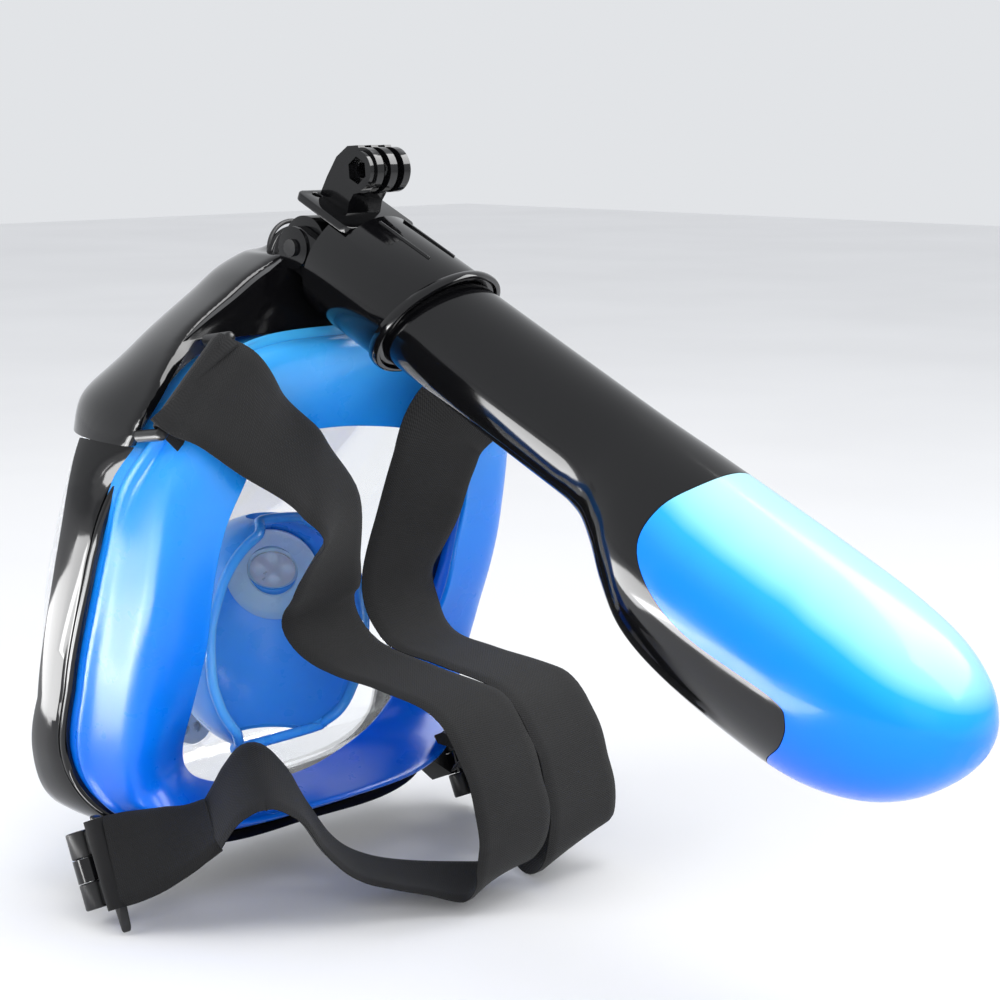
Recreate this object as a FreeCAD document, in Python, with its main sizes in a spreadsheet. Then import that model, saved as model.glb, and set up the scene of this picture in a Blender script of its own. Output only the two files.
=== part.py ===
import FreeCAD
import Part
import math
import os
import Sketcher
from FreeCAD import Placement, Rotation, Vector

# Full-face snorkel mask. Millimetres, +Z up, the lens faces -Y and the wearer's left is +X.
# The part stands on the tails of its two lower clips and on the lowest turn of its harness.
# The origin is on that surface, under the middle of the whole part.

os.makedirs("parts", exist_ok=True)
doc = FreeCAD.newDocument("snorkel_mask")

SIZES = [
    ("origin_back", 98.97),
    ("mask_half_width", 88.0),
    ("crown_height", 201.0),
    ("chin_height", 12.0),
    ("frame_wall", 3.0),
    ("fit_gap", 0.25),
    ("seam_height", 165.0),
    ("skirt_wall", 2.4),
    ("lens_thickness", 2.6),
    ("lens_rim_y", -29.0),
    ("lens_lean", 0.2),
    ("lens_depth", 46.0),
    ("hinge_y", 17.0),
    ("hinge_z", 226.0),
    ("neck_rise", 15.0),
    ("fold_drop", 24.8),
    ("stem_radius", 12.0),
    ("stem_bore", 9.5),
    ("barrel_radius", 12.4),
    ("barrel_half", 13.0),
    ("socket_radius", 14.6),
    ("collar_radius", 16.2),
    ("pin_radius", 3.0),
    ("tube_radius", 19.2),
    ("tube_wall", 2.2),
    ("tube_start", 26.0),
    ("flare_start", 132.0),
    ("head_radius", 21.4),
    ("head_end", 57.0),
    ("lip_radius", 24.0),
    ("lip_slope", 0.40),
    ("bracket_width", 15.0),
    ("knuckle_radius", 7.5),
    ("knuckle_bore", 2.6),
    ("prong_width", 3.0),
    ("knuckle_u", 10.4),
    ("knuckle_v", 33.5),
    ("plate_base", 17.9),
    ("plate_thickness", 3.0),
    ("clip_x", 88.0),
    ("clip_y", -12.0),
    ("clip_z", 17.75),
    ("clip_lean", 24.2),
    ("clip_barrel", 5.2),
    ("clip_pin", 2.2),
    ("clip_reach", 11.8),
    ("clip_half_height", 22.0),
    ("strap_width", 37.0),
    ("strap_thickness", 2.0),
]

sheet = doc.addObject("Spreadsheet::Sheet", "Sizes")
for row, (alias, value) in enumerate(SIZES, start=1):
    sheet.set("A%d" % row, alias)
    sheet.set("B%d" % row, str(value))
    sheet.setAlias("B%d" % row, alias)
doc.recompute()


def size(alias):
    return float(sheet.get(alias))


subparts = []
BACK_SHIFT = "-Sizes.origin_back"
HINGE_Y = "Sizes.hinge_y - Sizes.origin_back"


def keep(obj, label):
    """Register one named sub-part."""
    obj.Label = label
    subparts.append(obj)


def place(obj, base, rotation, y_rule=None, z_rule=None):
    """Put an object in the mask's frame, with its base bound to the sheet."""
    obj.Placement = Placement(base, rotation)
    if y_rule:
        obj.setExpression(".Placement.Base.y", y_rule)
    if z_rule:
        obj.setExpression(".Placement.Base.z", z_rule)


def in_mask(obj):
    """Mask pieces: x to the wearer's left, y back, z up, shifted to the part's origin."""
    place(obj, Vector(0, -size("origin_back"), 0), Rotation(), BACK_SHIFT)


def about_x(angle):
    return Rotation(Vector(1, 0, 0), angle)


def on_neck(obj):
    """Neck pieces: z runs out along the neck from the hinge centre."""
    base = Vector(0, size("hinge_y") - size("origin_back"), size("hinge_z"))
    place(obj, base, about_x(size("neck_rise") - 90), HINGE_Y, "Sizes.hinge_z")


def on_snorkel(obj):
    """Snorkel pieces: z runs along the tube from the hinge centre, -y is its upper side."""
    base = Vector(0, size("hinge_y") - size("origin_back"), size("hinge_z"))
    place(obj, base, about_x(-90 - size("fold_drop")), HINGE_Y, "Sizes.hinge_z")


def on_clip(obj, side):
    """Clip pieces: z runs up along the clip's pin."""
    base = Vector(side * size("clip_x"), size("clip_y") - size("origin_back"), size("clip_z"))
    place(obj, base, about_x(size("clip_lean")), "Sizes.clip_y - Sizes.origin_back", "Sizes.clip_z")


def feature(label, shape, placer, *extra):
    """A free-form sub-part whose shape is set by code from the sheet's sizes."""
    obj = doc.addObject("Part::Feature", label)
    obj.Shape = Part.makeCompound([shape])
    keep(obj, label)
    placer(obj, *extra)


# ---------------------------------------------------------------- plain turned pieces

def turned(label, outer, inner, start, length, placer, *extra):
    """A PartDesign ring or disc: circles on the XY plane, padded along z.

    outer, inner, start and length are rules in the sheet's terms."""
    body = doc.addObject("PartDesign::Body", label)
    plane = [o for o in body.Origin.OriginFeatures if o.Role == "XY_Plane"][0]
    sketch = body.newObject("Sketcher::SketchObject", label + "_section")
    sketch.AttachmentSupport = (plane, [""])
    sketch.MapMode = "FlatFace"
    for rule in [r for r in (outer, inner) if r]:
        circle = sketch.addGeometry(Part.Circle(Vector(0, 0, 0), Vector(0, 0, 1), 5.0), False)
        sketch.addConstraint(Sketcher.Constraint("Coincident", circle, 3, -1, 1))
        index = sketch.addConstraint(Sketcher.Constraint("Radius", circle, 5.0))
        sketch.setExpression("Constraints[%d]" % index, rule)
    sketch.setExpression(".AttachmentOffset.Base.z", start)
    pad = body.newObject("PartDesign::Pad", label + "_pad")
    pad.Profile = sketch
    pad.Length = 5.0
    pad.setExpression("Length", length)
    body.Tip = pad
    keep(body, label)
    placer(body, *extra)


def ring_seal(label, major, minor, offset, placer, *extra):
    """An O-ring round the z axis at the given height."""
    torus = doc.addObject("Part::Torus", label)
    torus.setExpression("Radius1", major)
    torus.setExpression("Radius2", minor)
    keep(torus, label)
    placer(torus, *extra)
    lift = torus.Placement.Rotation.multVec(Vector(0, 0, offset))
    torus.setExpression(".Placement.Base.y", HINGE_Y + " + (%.4f)" % lift.y)
    torus.setExpression(".Placement.Base.z", "Sizes.hinge_z + (%.4f)" % lift.z)


# ---------------------------------------------------------------- mask outline and side profiles

# The frame's outline from crown to chin, as fractions of its half width and half height.
OUTLINE = [(0, 1), (0.43, 0.975), (0.75, 0.85), (0.95, 0.61), (1, 0.17), (0.99, -0.3),
           (0.955, -0.63), (0.86, -0.87), (0.56, -0.985), (0, -1)]
# Side profiles as (y, z): the frame's rear edge, its front edge and the skirt's rear face.
FRAME_REAR = [(16, -10), (9, 12), (-13, 28), (-29, 48), (-22, 78), (-6, 125), (2, 150), (14, 166),
              (21, 180), (19, 192), (12, 206), (10, 250)]
FRAME_FRONT = [(-40, -10), (-42, 14), (-49, 32), (-50, 50), (-42, 72), (-26, 125), (-17, 165),
               (-12, 186), (-10, 250)]
SKIRT_REAR = [(26, -10), (19, 12), (5, 26), (-4, 40), (-1, 60), (5, 82), (14, 110), (19, 132),
              (23, 155), (27, 170), (26, 186), (20, 199), (18, 250)]
FAR = 220.0


def outline_points(grow):
    """Closed outline in the XZ plane, moved outwards along its own normals."""
    middle = (size("crown_height") + size("chin_height")) / 2
    half_height = (size("crown_height") - size("chin_height")) / 2
    half = [(size("mask_half_width") * x, middle + half_height * z) for x, z in OUTLINE]
    points = half + [(-x, z) for x, z in reversed(half[1:-1])]
    moved = []
    for i, (x, z) in enumerate(points):
        before = points[i - 1]
        after = points[(i + 1) % len(points)]
        tangent = Vector(after[0] - before[0], 0, after[1] - before[1]).normalize()
        moved.append(Vector(x - tangent.z * grow, 0, z + tangent.x * grow))
    return moved


def closed_curve(points):
    curve = Part.BSplineCurve()
    curve.interpolate(Points=points, PeriodicFlag=True)
    return Part.Wire([curve.toShape()])


def column(points):
    """Solid of a closed XZ outline, right through the mask from front to back."""
    face = Part.Face(closed_curve(points))
    solid = face.extrude(Vector(0, 2 * FAR, 0))
    solid.translate(Vector(0, -FAR, 0))
    return solid


def ahead_of(profile, shift=0.0):
    """Everything in front of a side profile, moved back by shift."""
    points = [Vector(-FAR, y + shift, z) for y, z in profile]
    curve = Part.BSplineCurve()
    curve.interpolate(points)
    top = Vector(-FAR, -FAR, profile[-1][1])
    bottom = Vector(-FAR, -FAR, profile[0][1])
    edges = [curve.toShape(), Part.makeLine(points[-1], top), Part.makeLine(top, bottom),
             Part.makeLine(bottom, points[0])]
    return Part.Face(Part.Wire(edges)).extrude(Vector(2 * FAR, 0, 0))


def block(x0, x1, y0, y1, z0, z1):
    return Part.makeBox(x1 - x0, y1 - y0, z1 - z0, Vector(x0, y0, z0))


def rod(start, end, radius):
    return Part.makeCylinder(radius, (end - start).Length, start, end - start)


def across(radius, x0, x1, y=0.0, z=0.0):
    """A cylinder along x."""
    return Part.makeCylinder(radius, x1 - x0, Vector(x0, y, z), Vector(1, 0, 0))


def biggest(shape):
    return max(shape.Solids, key=lambda solid: solid.Volume)


wall = size("frame_wall")
gap = size("fit_gap")
seam = size("seam_height")
below_seam = block(-FAR, FAR, -FAR, FAR, -20, seam)
in_frame = ahead_of(FRAME_REAR).cut(ahead_of(FRAME_FRONT))

# Lens: a leaning dome with the frame's outline, and a straight rim inside the frame.


def dome(shrink):
    """The lens's closed outer form, made smaller by shrink on every side."""
    middle = (size("crown_height") + size("chin_height")) / 2
    outline = outline_points(-wall - gap - shrink)
    sections = [(14.0, 1.0), (0.0, 1.0)]
    for angle in (20, 38, 54, 68, 80, 88):
        turn = math.radians(angle)
        sections.append(((shrink - size("lens_depth")) * math.sin(turn), math.cos(turn)))
    wires = []
    for forward, scale in sections:
        points = []
        for p in outline:
            x = p.x * scale
            z = middle + (p.z - middle) * scale
            points.append(Vector(x, size("lens_rim_y") + size("lens_lean") * (z - middle) + forward, z))
        wires.append(closed_curve(points))
    return Part.makeLoft(wires, True, False)


lens_form = dome(0)
lens = lens_form.cut(dome(size("lens_thickness")))
lens = biggest(lens.common(ahead_of(FRAME_FRONT, 9)).common(block(-FAR, FAR, -FAR, FAR, 0, seam + 8)))
drain_place = Placement(Vector(0, -73.5, 42), about_x(105))
drain_hole = Part.makeCylinder(11.2, 60, Vector(0, 0, -30))
drain_hole.Placement = drain_place
lens = biggest(lens.cut(drain_hole))
feature("lens", lens, in_mask)

# Frame ring: side strips and chin, with one ear on each side for a clip's pin.
EAR_REACH = 13.5
ring = column(outline_points(0)).cut(column(outline_points(-wall))).common(in_frame).common(below_seam)
for side in (-1, 1):
    ear = Part.makeCylinder(size("clip_barrel") - 0.3, 8.0, Vector(0, 0, -4.0))
    web = block(-EAR_REACH, 0, -3.2, 3.2, -4.0, 4.0) if side > 0 else block(0, EAR_REACH, -3.2, 3.2, -4.0, 4.0)
    ear = ear.fuse(web)
    clip_spot = Vector(side * size("clip_x"), size("clip_y"), size("clip_z"))
    ear.Placement = Placement(clip_spot, about_x(size("clip_lean")))
    bore = Part.makeCylinder(size("clip_pin"), 40, Vector(0, 0, -20))
    bore.Placement = ear.Placement
    ear = ear.cut(column(outline_points(-wall)).common(block(-FAR, FAR, -60, 60, 0, FAR)))
    ring = ring.fuse(ear).cut(bore)
feature("frame_ring", biggest(ring.removeSplitter()), in_mask)

# Skirt: side wall inside the frame, then a flange that turns in to the face opening.
OPENING = [(0, 162), (34, 161), (52, 146), (57, 100), (53, 55), (34, 33), (0, 29)]


def opening_points(grow):
    points = OPENING + [(-x, z) for x, z in reversed(OPENING[1:-1])]
    middle = 96.0
    return [Vector(x * (1 + grow / 57.0), 0, middle + (z - middle) * (1 + grow / 66.0)) for x, z in points]


skirt_outside = -wall - gap
skirt_inside = skirt_outside - size("skirt_wall")
skirt_band = ahead_of(SKIRT_REAR).cut(ahead_of(FRAME_FRONT, 9.5))
skirt = column(outline_points(skirt_outside)).common(skirt_band)
cavity = column(outline_points(skirt_inside)).common(ahead_of(SKIRT_REAR, -size("skirt_wall")))
skirt = biggest(skirt.cut(cavity).cut(column(opening_points(0))))
feature("face_skirt", skirt, in_mask)

# Clamp ring: presses the skirt's lip out against the frame.
clamp_outside = skirt_inside - gap
clamp_band = ahead_of(FRAME_REAR, -1.5).cut(ahead_of(FRAME_REAR, -6.5))
clamp_ring = column(outline_points(clamp_outside)).cut(column(outline_points(clamp_outside - 2.4)))
clamp_ring = clamp_ring.common(clamp_band)
feature("skirt_clamp_ring", biggest(clamp_ring), in_mask)

# ---------------------------------------------------------------- brow shell with neck socket

hinge = Vector(0, size("hinge_y"), size("hinge_z"))
neck_axis = Vector(0, math.cos(math.radians(size("neck_rise"))), math.sin(math.radians(size("neck_rise"))))


def neck_point(distance):
    """A point on the neck's axis, measured from the hinge centre towards the back."""
    return hinge + neck_axis * distance


# Hood sections from the seam up: height, half width, middle of the arc, depth of the arc, rear edge.
HOOD = [(165.2, 87.8, 15, 76, 20), (176, 85, 15, 71, 28), (186, 79, 15, 64, 28), (195, 69, 15, 58, 28),
        (203, 54, 14, 51, 26), (212, 36, 12, 42, 22), (220, 21, 8, 29, 16), (225, 10, 2, 17, 8)]


def hood(shrink, rear_growth):
    """The hood above the lens, made smaller by shrink; a few sections of half ellipses."""
    wires = []
    for height, half_width, middle, depth, rear in HOOD:
        a = half_width - shrink
        rear = rear + rear_growth
        z = height - shrink * (0.6 if height > 170 else 1.0)
        points = [Vector(a * math.cos(t), middle - (depth - shrink) * math.sin(t), z)
                  for t in [math.pi * i / 12 for i in range(13)]]
        arc = Part.BSplineCurve()
        arc.interpolate(points)
        right = Vector(-a, rear, z)
        left = Vector(a, rear, z)
        edges = [arc.toShape(), Part.makeLine(points[-1], right), Part.makeLine(right, left),
                 Part.makeLine(left, points[0])]
        wires.append(Part.Wire(edges))
    return Part.makeLoft(wires, True, False)


socket = rod(neck_point(-48), neck_point(-20), size("socket_radius"))
brow = hood(0, 0).common(ahead_of(FRAME_REAR)).fuse(socket)
brow = brow.cut(hood(2.8, 30)).cut(dome(-gap))
brow = brow.cut(rod(neck_point(-70), neck_point(-19), size("stem_radius") + 0.05))
brow = brow.cut(rod(neck_point(-19.9), neck_point(20), 18.0))
brow = brow.cut(across(26.5, -23, 23, hinge.y, hinge.z).cut(socket))
collar_seat = rod(neck_point(-27), neck_point(-21), size("collar_radius") + 0.02)
brow = brow.cut(collar_seat.cut(rod(neck_point(-28), neck_point(-20), size("socket_radius") - 0.02)))
brow = brow.cut(column(outline_points(skirt_outside + 0.4)).common(block(-FAR, FAR, -24, FAR, 0, 260)))
brow = brow.common(block(-FAR, FAR, -FAR, FAR, seam + gap, 260))
feature("brow_shell", biggest(brow), in_mask)

# ---------------------------------------------------------------- neck and hinge

turned("neck_collar", "Sizes.collar_radius", "Sizes.socket_radius", "-27", "6", on_neck)
ring_seal("stem_seal", "Sizes.stem_radius + 0.9", "0.8", -18.8, on_neck)

stem = rod(neck_point(-38), neck_point(-8), size("stem_radius")).fuse(
    across(size("barrel_radius"), -size("barrel_half"), size("barrel_half"), hinge.y, hinge.z))
stem = stem.cut(rod(neck_point(-39), neck_point(0), size("stem_bore")))
stem = stem.cut(across(size("stem_bore"), -9.5, 9.5, hinge.y, hinge.z))
window = block(-9.5, 9.5, 0, 20, -12, 12)
for angle in (-size("fold_drop"), 0.0, size("neck_rise")):
    opening = window.copy()
    opening.rotate(Vector(0, 0, 0), Vector(1, 0, 0), angle)
    opening.translate(hinge)
    stem = stem.cut(opening)
stem = stem.cut(across(size("pin_radius"), -20, 20, hinge.y, hinge.z))
feature("hinge_stem", biggest(stem), in_mask)

for side, name in ((1, "left"), (-1, "right")):
    near = 10.0
    pin = doc.addObject("Part::Cylinder", "hinge_pin_" + name)
    pin.setExpression("Radius", "Sizes.pin_radius - 0.02")
    pin.Height = 9.6
    pin.Placement = Placement(Vector(side * near, size("hinge_y") - size("origin_back"), size("hinge_z")),
                              Rotation(Vector(0, 1, 0), 90 * side))
    pin.setExpression(".Placement.Base.y", HINGE_Y)
    pin.setExpression(".Placement.Base.z", "Sizes.hinge_z")
    keep(pin, "hinge_pin_" + name)

# ---------------------------------------------------------------- snorkel head

tube_radius = size("tube_radius")
tube_wall = size("tube_wall")
head_radius = size("head_radius")
head_end = size("head_end")


def tube_solid(radius, z0, z1):
    return Part.makeCylinder(radius, z1 - z0, Vector(0, 0, z0))


def oblique(offset):
    """Everything on the hinge side of the lip's slanted plane."""
    slope = size("lip_slope")
    end = head_end + offset
    points = [Vector(-60, -40, end + 40 * slope), Vector(-60, 40, end - 40 * slope),
              Vector(-60, 40, -60), Vector(-60, -40, -60)]
    return Part.Face(Part.makePolygon(points + [points[0]])).extrude(Vector(120, 0, 0))


cheek = across(17.5, -30, 30)
head = tube_solid(head_radius, -17.5, 75).common(oblique(0))
head = head.common(cheek.fuse(block(-30, 30, -30, 30, 0, 80)))
head = head.cut(tube_solid(tube_radius + 0.1, size("tube_start") - 4, 80)).cut(tube_solid(16.5, 10, 60))
head = head.cut(across(size("barrel_radius") + 0.4, -13.3, 13.3)).cut(block(-13.3, 13.3, -30, 30, -30, 13))
head = head.cut(block(-30, 30, -30, 0.1 - size("plate_base"), -30, 10.2))
head = head.cut(across(size("pin_radius") + 0.04, -25, 25))
feature("snorkel_head", biggest(head), on_snorkel)

lip = tube_solid(size("lip_radius"), 20, 90).cut(tube_solid(head_radius + 0.02, 10, 95))
lip = lip.common(oblique(1.0)).cut(oblique(-4.0))
feature("head_lip", biggest(lip), on_snorkel)

# ---------------------------------------------------------------- flared tube and cap

# Sections of the flared upper end: distance from the hinge, half width, upper and lower side.
FLARE = [(132, 19.2, 19.2, 19.2), (140, 19.3, 19.2, 19.6), (148, 20.2, 19.2, 22.0), (157, 22.6, 19.2, 28.0),
         (167, 25.6, 19.3, 36.5), (179, 28.0, 19.4, 43.5), (198, 29.3, 19.6, 46.8), (225, 29.6, 19.8, 47.2),
         (248, 28.8, 19.4, 45.4), (266, 25.8, 17.2, 39.0), (279, 20.5, 12.0, 29.5), (287, 13.0, 4.6, 18.5),
         (290.4, 5.0, -3.2, 10.0)]


def flare(shrink):
    wires = []
    for z, half_width, upper, lower in FLARE:
        a = half_width - shrink
        b = (upper + lower) / 2 - shrink
        middle = (lower - upper) / 2
        if z > 280:
            z = z - shrink
        points = [Vector(a * math.cos(t), middle + b * math.sin(t), z)
                  for t in [2 * math.pi * i / 16 for i in range(16)]]
        if z == size("flare_start"):
            wires.append(Part.Wire([Part.Circle(Vector(0, 0, z), Vector(0, 0, 1), a).toShape()]))
        else:
            wires.append(closed_curve(points))
        if a < 6:
            break
    return Part.makeLoft(wires, True, False)


# The edge between black tube and coloured cap, as (distance from the hinge, depth below the axis).
CAP_EDGE = [(188, -34), (183, -19), (178, -8), (179, 4), (190, 12.5), (208, 16.5), (240, 15), (247, 19),
            (247, 28), (241, 40), (238, 56)]


def cap_side(shift):
    points = [Vector(-60, y, z + shift) for z, y in CAP_EDGE]
    curve = Part.BSplineCurve()
    curve.interpolate(points)
    far_low = Vector(-60, points[-1].y, 330)
    far_high = Vector(-60, points[0].y, 330)
    edges = [curve.toShape(), Part.makeLine(points[-1], far_low), Part.makeLine(far_low, far_high),
             Part.makeLine(far_high, points[0])]
    solid = Part.Face(Part.Wire(edges)).extrude(Vector(120, 0, 0))
    solid.translate(Vector(0, -shift, 0))
    return solid


outer = flare(0)
inner = flare(tube_wall)
grille_window = block(-12, 12, 30, 60, 204, 228)
tube = outer.cut(inner).cut(cap_side(0)).cut(grille_window)
straight = tube_solid(tube_radius, size("tube_start"), size("flare_start")).cut(
    tube_solid(tube_radius - tube_wall, size("tube_start"), size("flare_start")))
tube = tube.fuse(straight).removeSplitter()
feature("snorkel_tube", biggest(tube), on_snorkel)
cap = outer.cut(inner).common(cap_side(0.3))
feature("drytop_cap", biggest(cap), on_snorkel)

divider = block(-16.7, 16.7, -0.9, 0.9, 30, 146)
divider = divider.common(tube_solid(tube_radius - tube_wall - 0.05, 20, 150))
feature("air_channel_divider", divider, on_snorkel)
ring_seal("tube_seal", "16.7", "1.1", 23.2, on_snorkel)
turned("valve_seat", "Sizes.tube_radius - Sizes.tube_wall - 0.1", "8", "148", "2.4", on_snorkel)
valve_cage = block(-12, -9.6, -4, 4, 150.4, 173).fuse(block(9.6, 12, -4, 4, 150.4, 173))
valve_cage = valve_cage.cut(across(1.5, -20, 20, 0, 169))
feature("valve_cage", valve_cage, on_snorkel)

grille = block(-11.8, 11.8, 41.2, 43.2, 204.2, 227.8)
for slot in range(4):
    grille = grille.cut(block(-9, 9, 40, 45, 206.6 + slot * 5.2, 209.6 + slot * 5.2))
feature("intake_grille", grille, on_snorkel)

# Float valve: a foam float on an arm that swings the plug against the seat.
float_pin = doc.addObject("Part::Cylinder", "float_pin")
float_pin.Radius = 1.48
float_pin.Height = 24.0
spot = hinge + about_x(-90 - size("fold_drop")).multVec(Vector(0, 0, 169))
float_pin.Placement = Placement(Vector(-12, spot.y - size("origin_back"), spot.z),
                                Rotation(Vector(0, 1, 0), 90))
keep(float_pin, "float_pin")
arm = across(3.4, -9.2, 9.2, 0, 169).fuse(block(-3, 3, -1.5, 1.5, 169, 190))
arm = arm.fuse(block(-2, 2, -1.5, 1.5, 157, 169))
arm = arm.cut(across(1.54, -20, 20, 0, 169))
feature("float_arm", arm, on_snorkel)
float_body = block(-10, 10, -9, 9, 190.3, 226)
float_body = float_body.makeFillet(4, float_body.Edges)
feature("float_body", float_body, on_snorkel)
turned("valve_plug", "9.2", "", "154.4", "2.4", on_snorkel)

# ---------------------------------------------------------------- camera bracket

plate_base = size("plate_base")
plate_top = plate_base + size("plate_thickness")
half_bracket = size("bracket_width") / 2
knuckle_u = size("knuckle_u")
knuckle_v = size("knuckle_v")
foot = block(-15, 15, -plate_top, -plate_base, -23, 9.6)
corner = block(-20, -6, -30, -10, -24, -12)
foot = foot.cut(corner.cut(Part.makeCylinder(9, 20, Vector(-6, -30, -14), Vector(0, 1, 0))))
foot = foot.cut(Part.makeCylinder(1.7, 20, Vector(6, -30, -16), Vector(0, 1, 0)))
stalk_side = [Vector(-half_bracket, -plate_top, -8), Vector(-half_bracket, -knuckle_v - 5, knuckle_u - 7),
              Vector(-half_bracket, -knuckle_v, knuckle_u + 6),
              Vector(-half_bracket, -knuckle_v + 7, knuckle_u + 2),
              Vector(-half_bracket, -plate_top, 6.5), Vector(-half_bracket, -plate_base, 6.5),
              Vector(-half_bracket, -plate_base, -8)]
stalk = Part.Face(Part.makePolygon(stalk_side + [stalk_side[0]]))
stalk = stalk.extrude(Vector(size("bracket_width"), 0, 0))
knuckle = across(size("knuckle_radius"), -half_bracket, half_bracket, -knuckle_v, knuckle_u)
boss = across(6.6, half_bracket - 0.5, half_bracket + 2.6, -knuckle_v, knuckle_u)
bracket = foot.fuse(stalk).fuse(knuckle).fuse(boss)
saddle = tube_solid(head_radius + 2.4, 6, 27).cut(tube_solid(head_radius + 0.05, 0, 40))
saddle = saddle.common(block(-8.5, 8.5, -40, 0, 6, 27))
bracket = bracket.fuse(saddle.cut(block(-20, 20, -40, 0, -10, 3)))
heel = block(-7.5, 7.5, -24, -plate_base, 4, 10.4)
bracket = bracket.fuse(heel.cut(tube_solid(head_radius + 0.05, 9.8, 40)))
for middle in (-3.05, 3.05):
    bracket = bracket.cut(across(9.2, middle - 1.55, middle + 1.55, -knuckle_v, knuckle_u))
bracket = bracket.cut(across(size("knuckle_bore"), -20, 20, -knuckle_v, knuckle_u))
nut = Part.makePolygon([Vector(half_bracket, -knuckle_v + 4.6 * math.sin(math.pi / 3 * i),
                               knuckle_u + 4.6 * math.cos(math.pi / 3 * i)) for i in range(7)])
bracket = bracket.cut(Part.Face(nut).extrude(Vector(4, 0, 0)))
feature("camera_bracket", biggest(bracket.removeSplitter()), on_snorkel)

# ---------------------------------------------------------------- nose cup, inhale valves and chin drain


def egg(shrink):
    ball = Part.makeSphere(1.0)
    matrix = FreeCAD.Matrix()
    matrix.scale(38 - shrink, 40 - shrink, 44 - shrink)
    solid = ball.transformGeometry(matrix)
    solid.translate(Vector(0, -20, 84))
    return solid


nose = egg(0).cut(egg(2)).common(block(-60, 60, -100, -8, 0, 200))
valve_places = []
for side in (1, -1):
    direction = Vector(side * 0.62, -0.62, 0.48).normalize()
    centre = Vector(side * 22, -44, 101)
    turn = Rotation(Vector(0, 0, 1), direction)
    valve_places.append((side, centre, turn))
    opening = Part.makeCylinder(10.2, 40, Vector(0, 0, -20))
    opening.Placement = Placement(centre, turn)
    nose = nose.cut(opening)
feature("nose_cup", biggest(nose), in_mask)

for side, centre, turn in valve_places:
    name = "left" if side > 0 else "right"
    seat = Part.makeCylinder(10.0, 3.0)
    for i in range(4):
        angle = math.pi / 4 + math.pi / 2 * i
        seat = seat.cut(Part.makeCylinder(2.3, 6, Vector(5.2 * math.cos(angle), 5.2 * math.sin(angle), -1)))
    seat.Placement = Placement(centre, turn)
    feature("inhale_seat_" + name, seat, in_mask)
    flap = Part.makeCylinder(8.6, 0.8, Vector(0, 0, -0.9))
    flap.Placement = Placement(centre, turn)
    feature("inhale_flap_" + name, flap, in_mask)

drain = Part.makeCylinder(11.0, 9, Vector(0, 0, -5)).cut(Part.makeCylinder(9.4, 20, Vector(0, 0, -3.4)))
for i in range(6):
    angle = math.pi / 3 * i
    drain = drain.cut(Part.makeCylinder(1.9, 20, Vector(5.6 * math.cos(angle), 5.6 * math.sin(angle), -10)))
flap = Part.makeCylinder(8.6, 0.9, Vector(0, 0, -3.3))
cover = Part.makeCylinder(11.0, 1.6, Vector(0, 0, 4.1))
for i in range(3):
    cover = cover.cut(block(-7, 7, -5.6 + i * 4.4, -3.2 + i * 4.4, 3, 7))
for name, shape in (("chin_drain_body", drain), ("chin_drain_flap", flap), ("chin_drain_cover", cover)):
    shape.Placement = drain_place
    feature(name, shape, in_mask)

# ---------------------------------------------------------------- upper strap lugs


def lug(side, low, high, radius):
    """A round bar on two short posts that run forward into the brow shell's rear edge."""
    low = Vector(side * low.x, low.y, low.z)
    high = Vector(side * high.x, high.y, high.z)
    shape = rod(low, high, radius)
    for end in (low, high):
        shape = shape.fuse(rod(end, end + Vector(-side * 1.5, -13, -2), radius))
        shape = shape.fuse(Part.makeSphere(radius, end))
    return shape


LUG_LOW = Vector(86, 31, 171)
LUG_HIGH = Vector(60, 34, 200)
brow_solid = biggest(brow)
for side, name in ((1, "left"), (-1, "right")):
    shape = lug(side, LUG_LOW, LUG_HIGH, 2.0).cut(brow_solid).cut(skirt)
    feature("strap_lug_" + name, biggest(shape), in_mask)

# ---------------------------------------------------------------- harness bands

STEPS_PER_STATION = 2


def smooth_run(points):
    """The points with extra ones between them, on a smooth curve through them all."""
    run = []
    last = len(points) - 1
    for i in range(last):
        before = points[max(i - 1, 0)]
        a = points[i]
        b = points[i + 1]
        after = points[min(i + 2, last)]
        for step in range(STEPS_PER_STATION):
            t = step / STEPS_PER_STATION
            run.append(a + (b - before) * (0.5 * t)
                       + (before * 2 - a * 5 + b * 4 - after) * (0.5 * t * t)
                       + (a * 3 - before - b * 3 + after) * (0.5 * t * t * t))
    run.append(points[last])
    return run


def ribbon(stations):
    """A flat band: each station is a centre and the direction across the band."""
    half = size("strap_width") / 2
    thin = size("strap_thickness") / 2
    centres = smooth_run([Vector(*centre) for centre, across_band in stations])
    leans = smooth_run([Vector(*across_band).normalize() for centre, across_band in stations])
    count = len(centres) - 1
    wires = []
    for i in range(count + 1):
        run = centres[min(i + 1, count)] - centres[max(i - 1, 0)]
        side = leans[i]
        side = (side - run * (side.dot(run) / run.dot(run))).normalize() * half
        up = side.cross(run).normalize() * thin
        c = centres[i]
        corners = [c + side + up, c - side + up, c - side - up, c + side - up]
        wires.append(Part.makePolygon(corners + [corners[0]]))
    return Part.makeLoft(wires, True, True)


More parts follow.
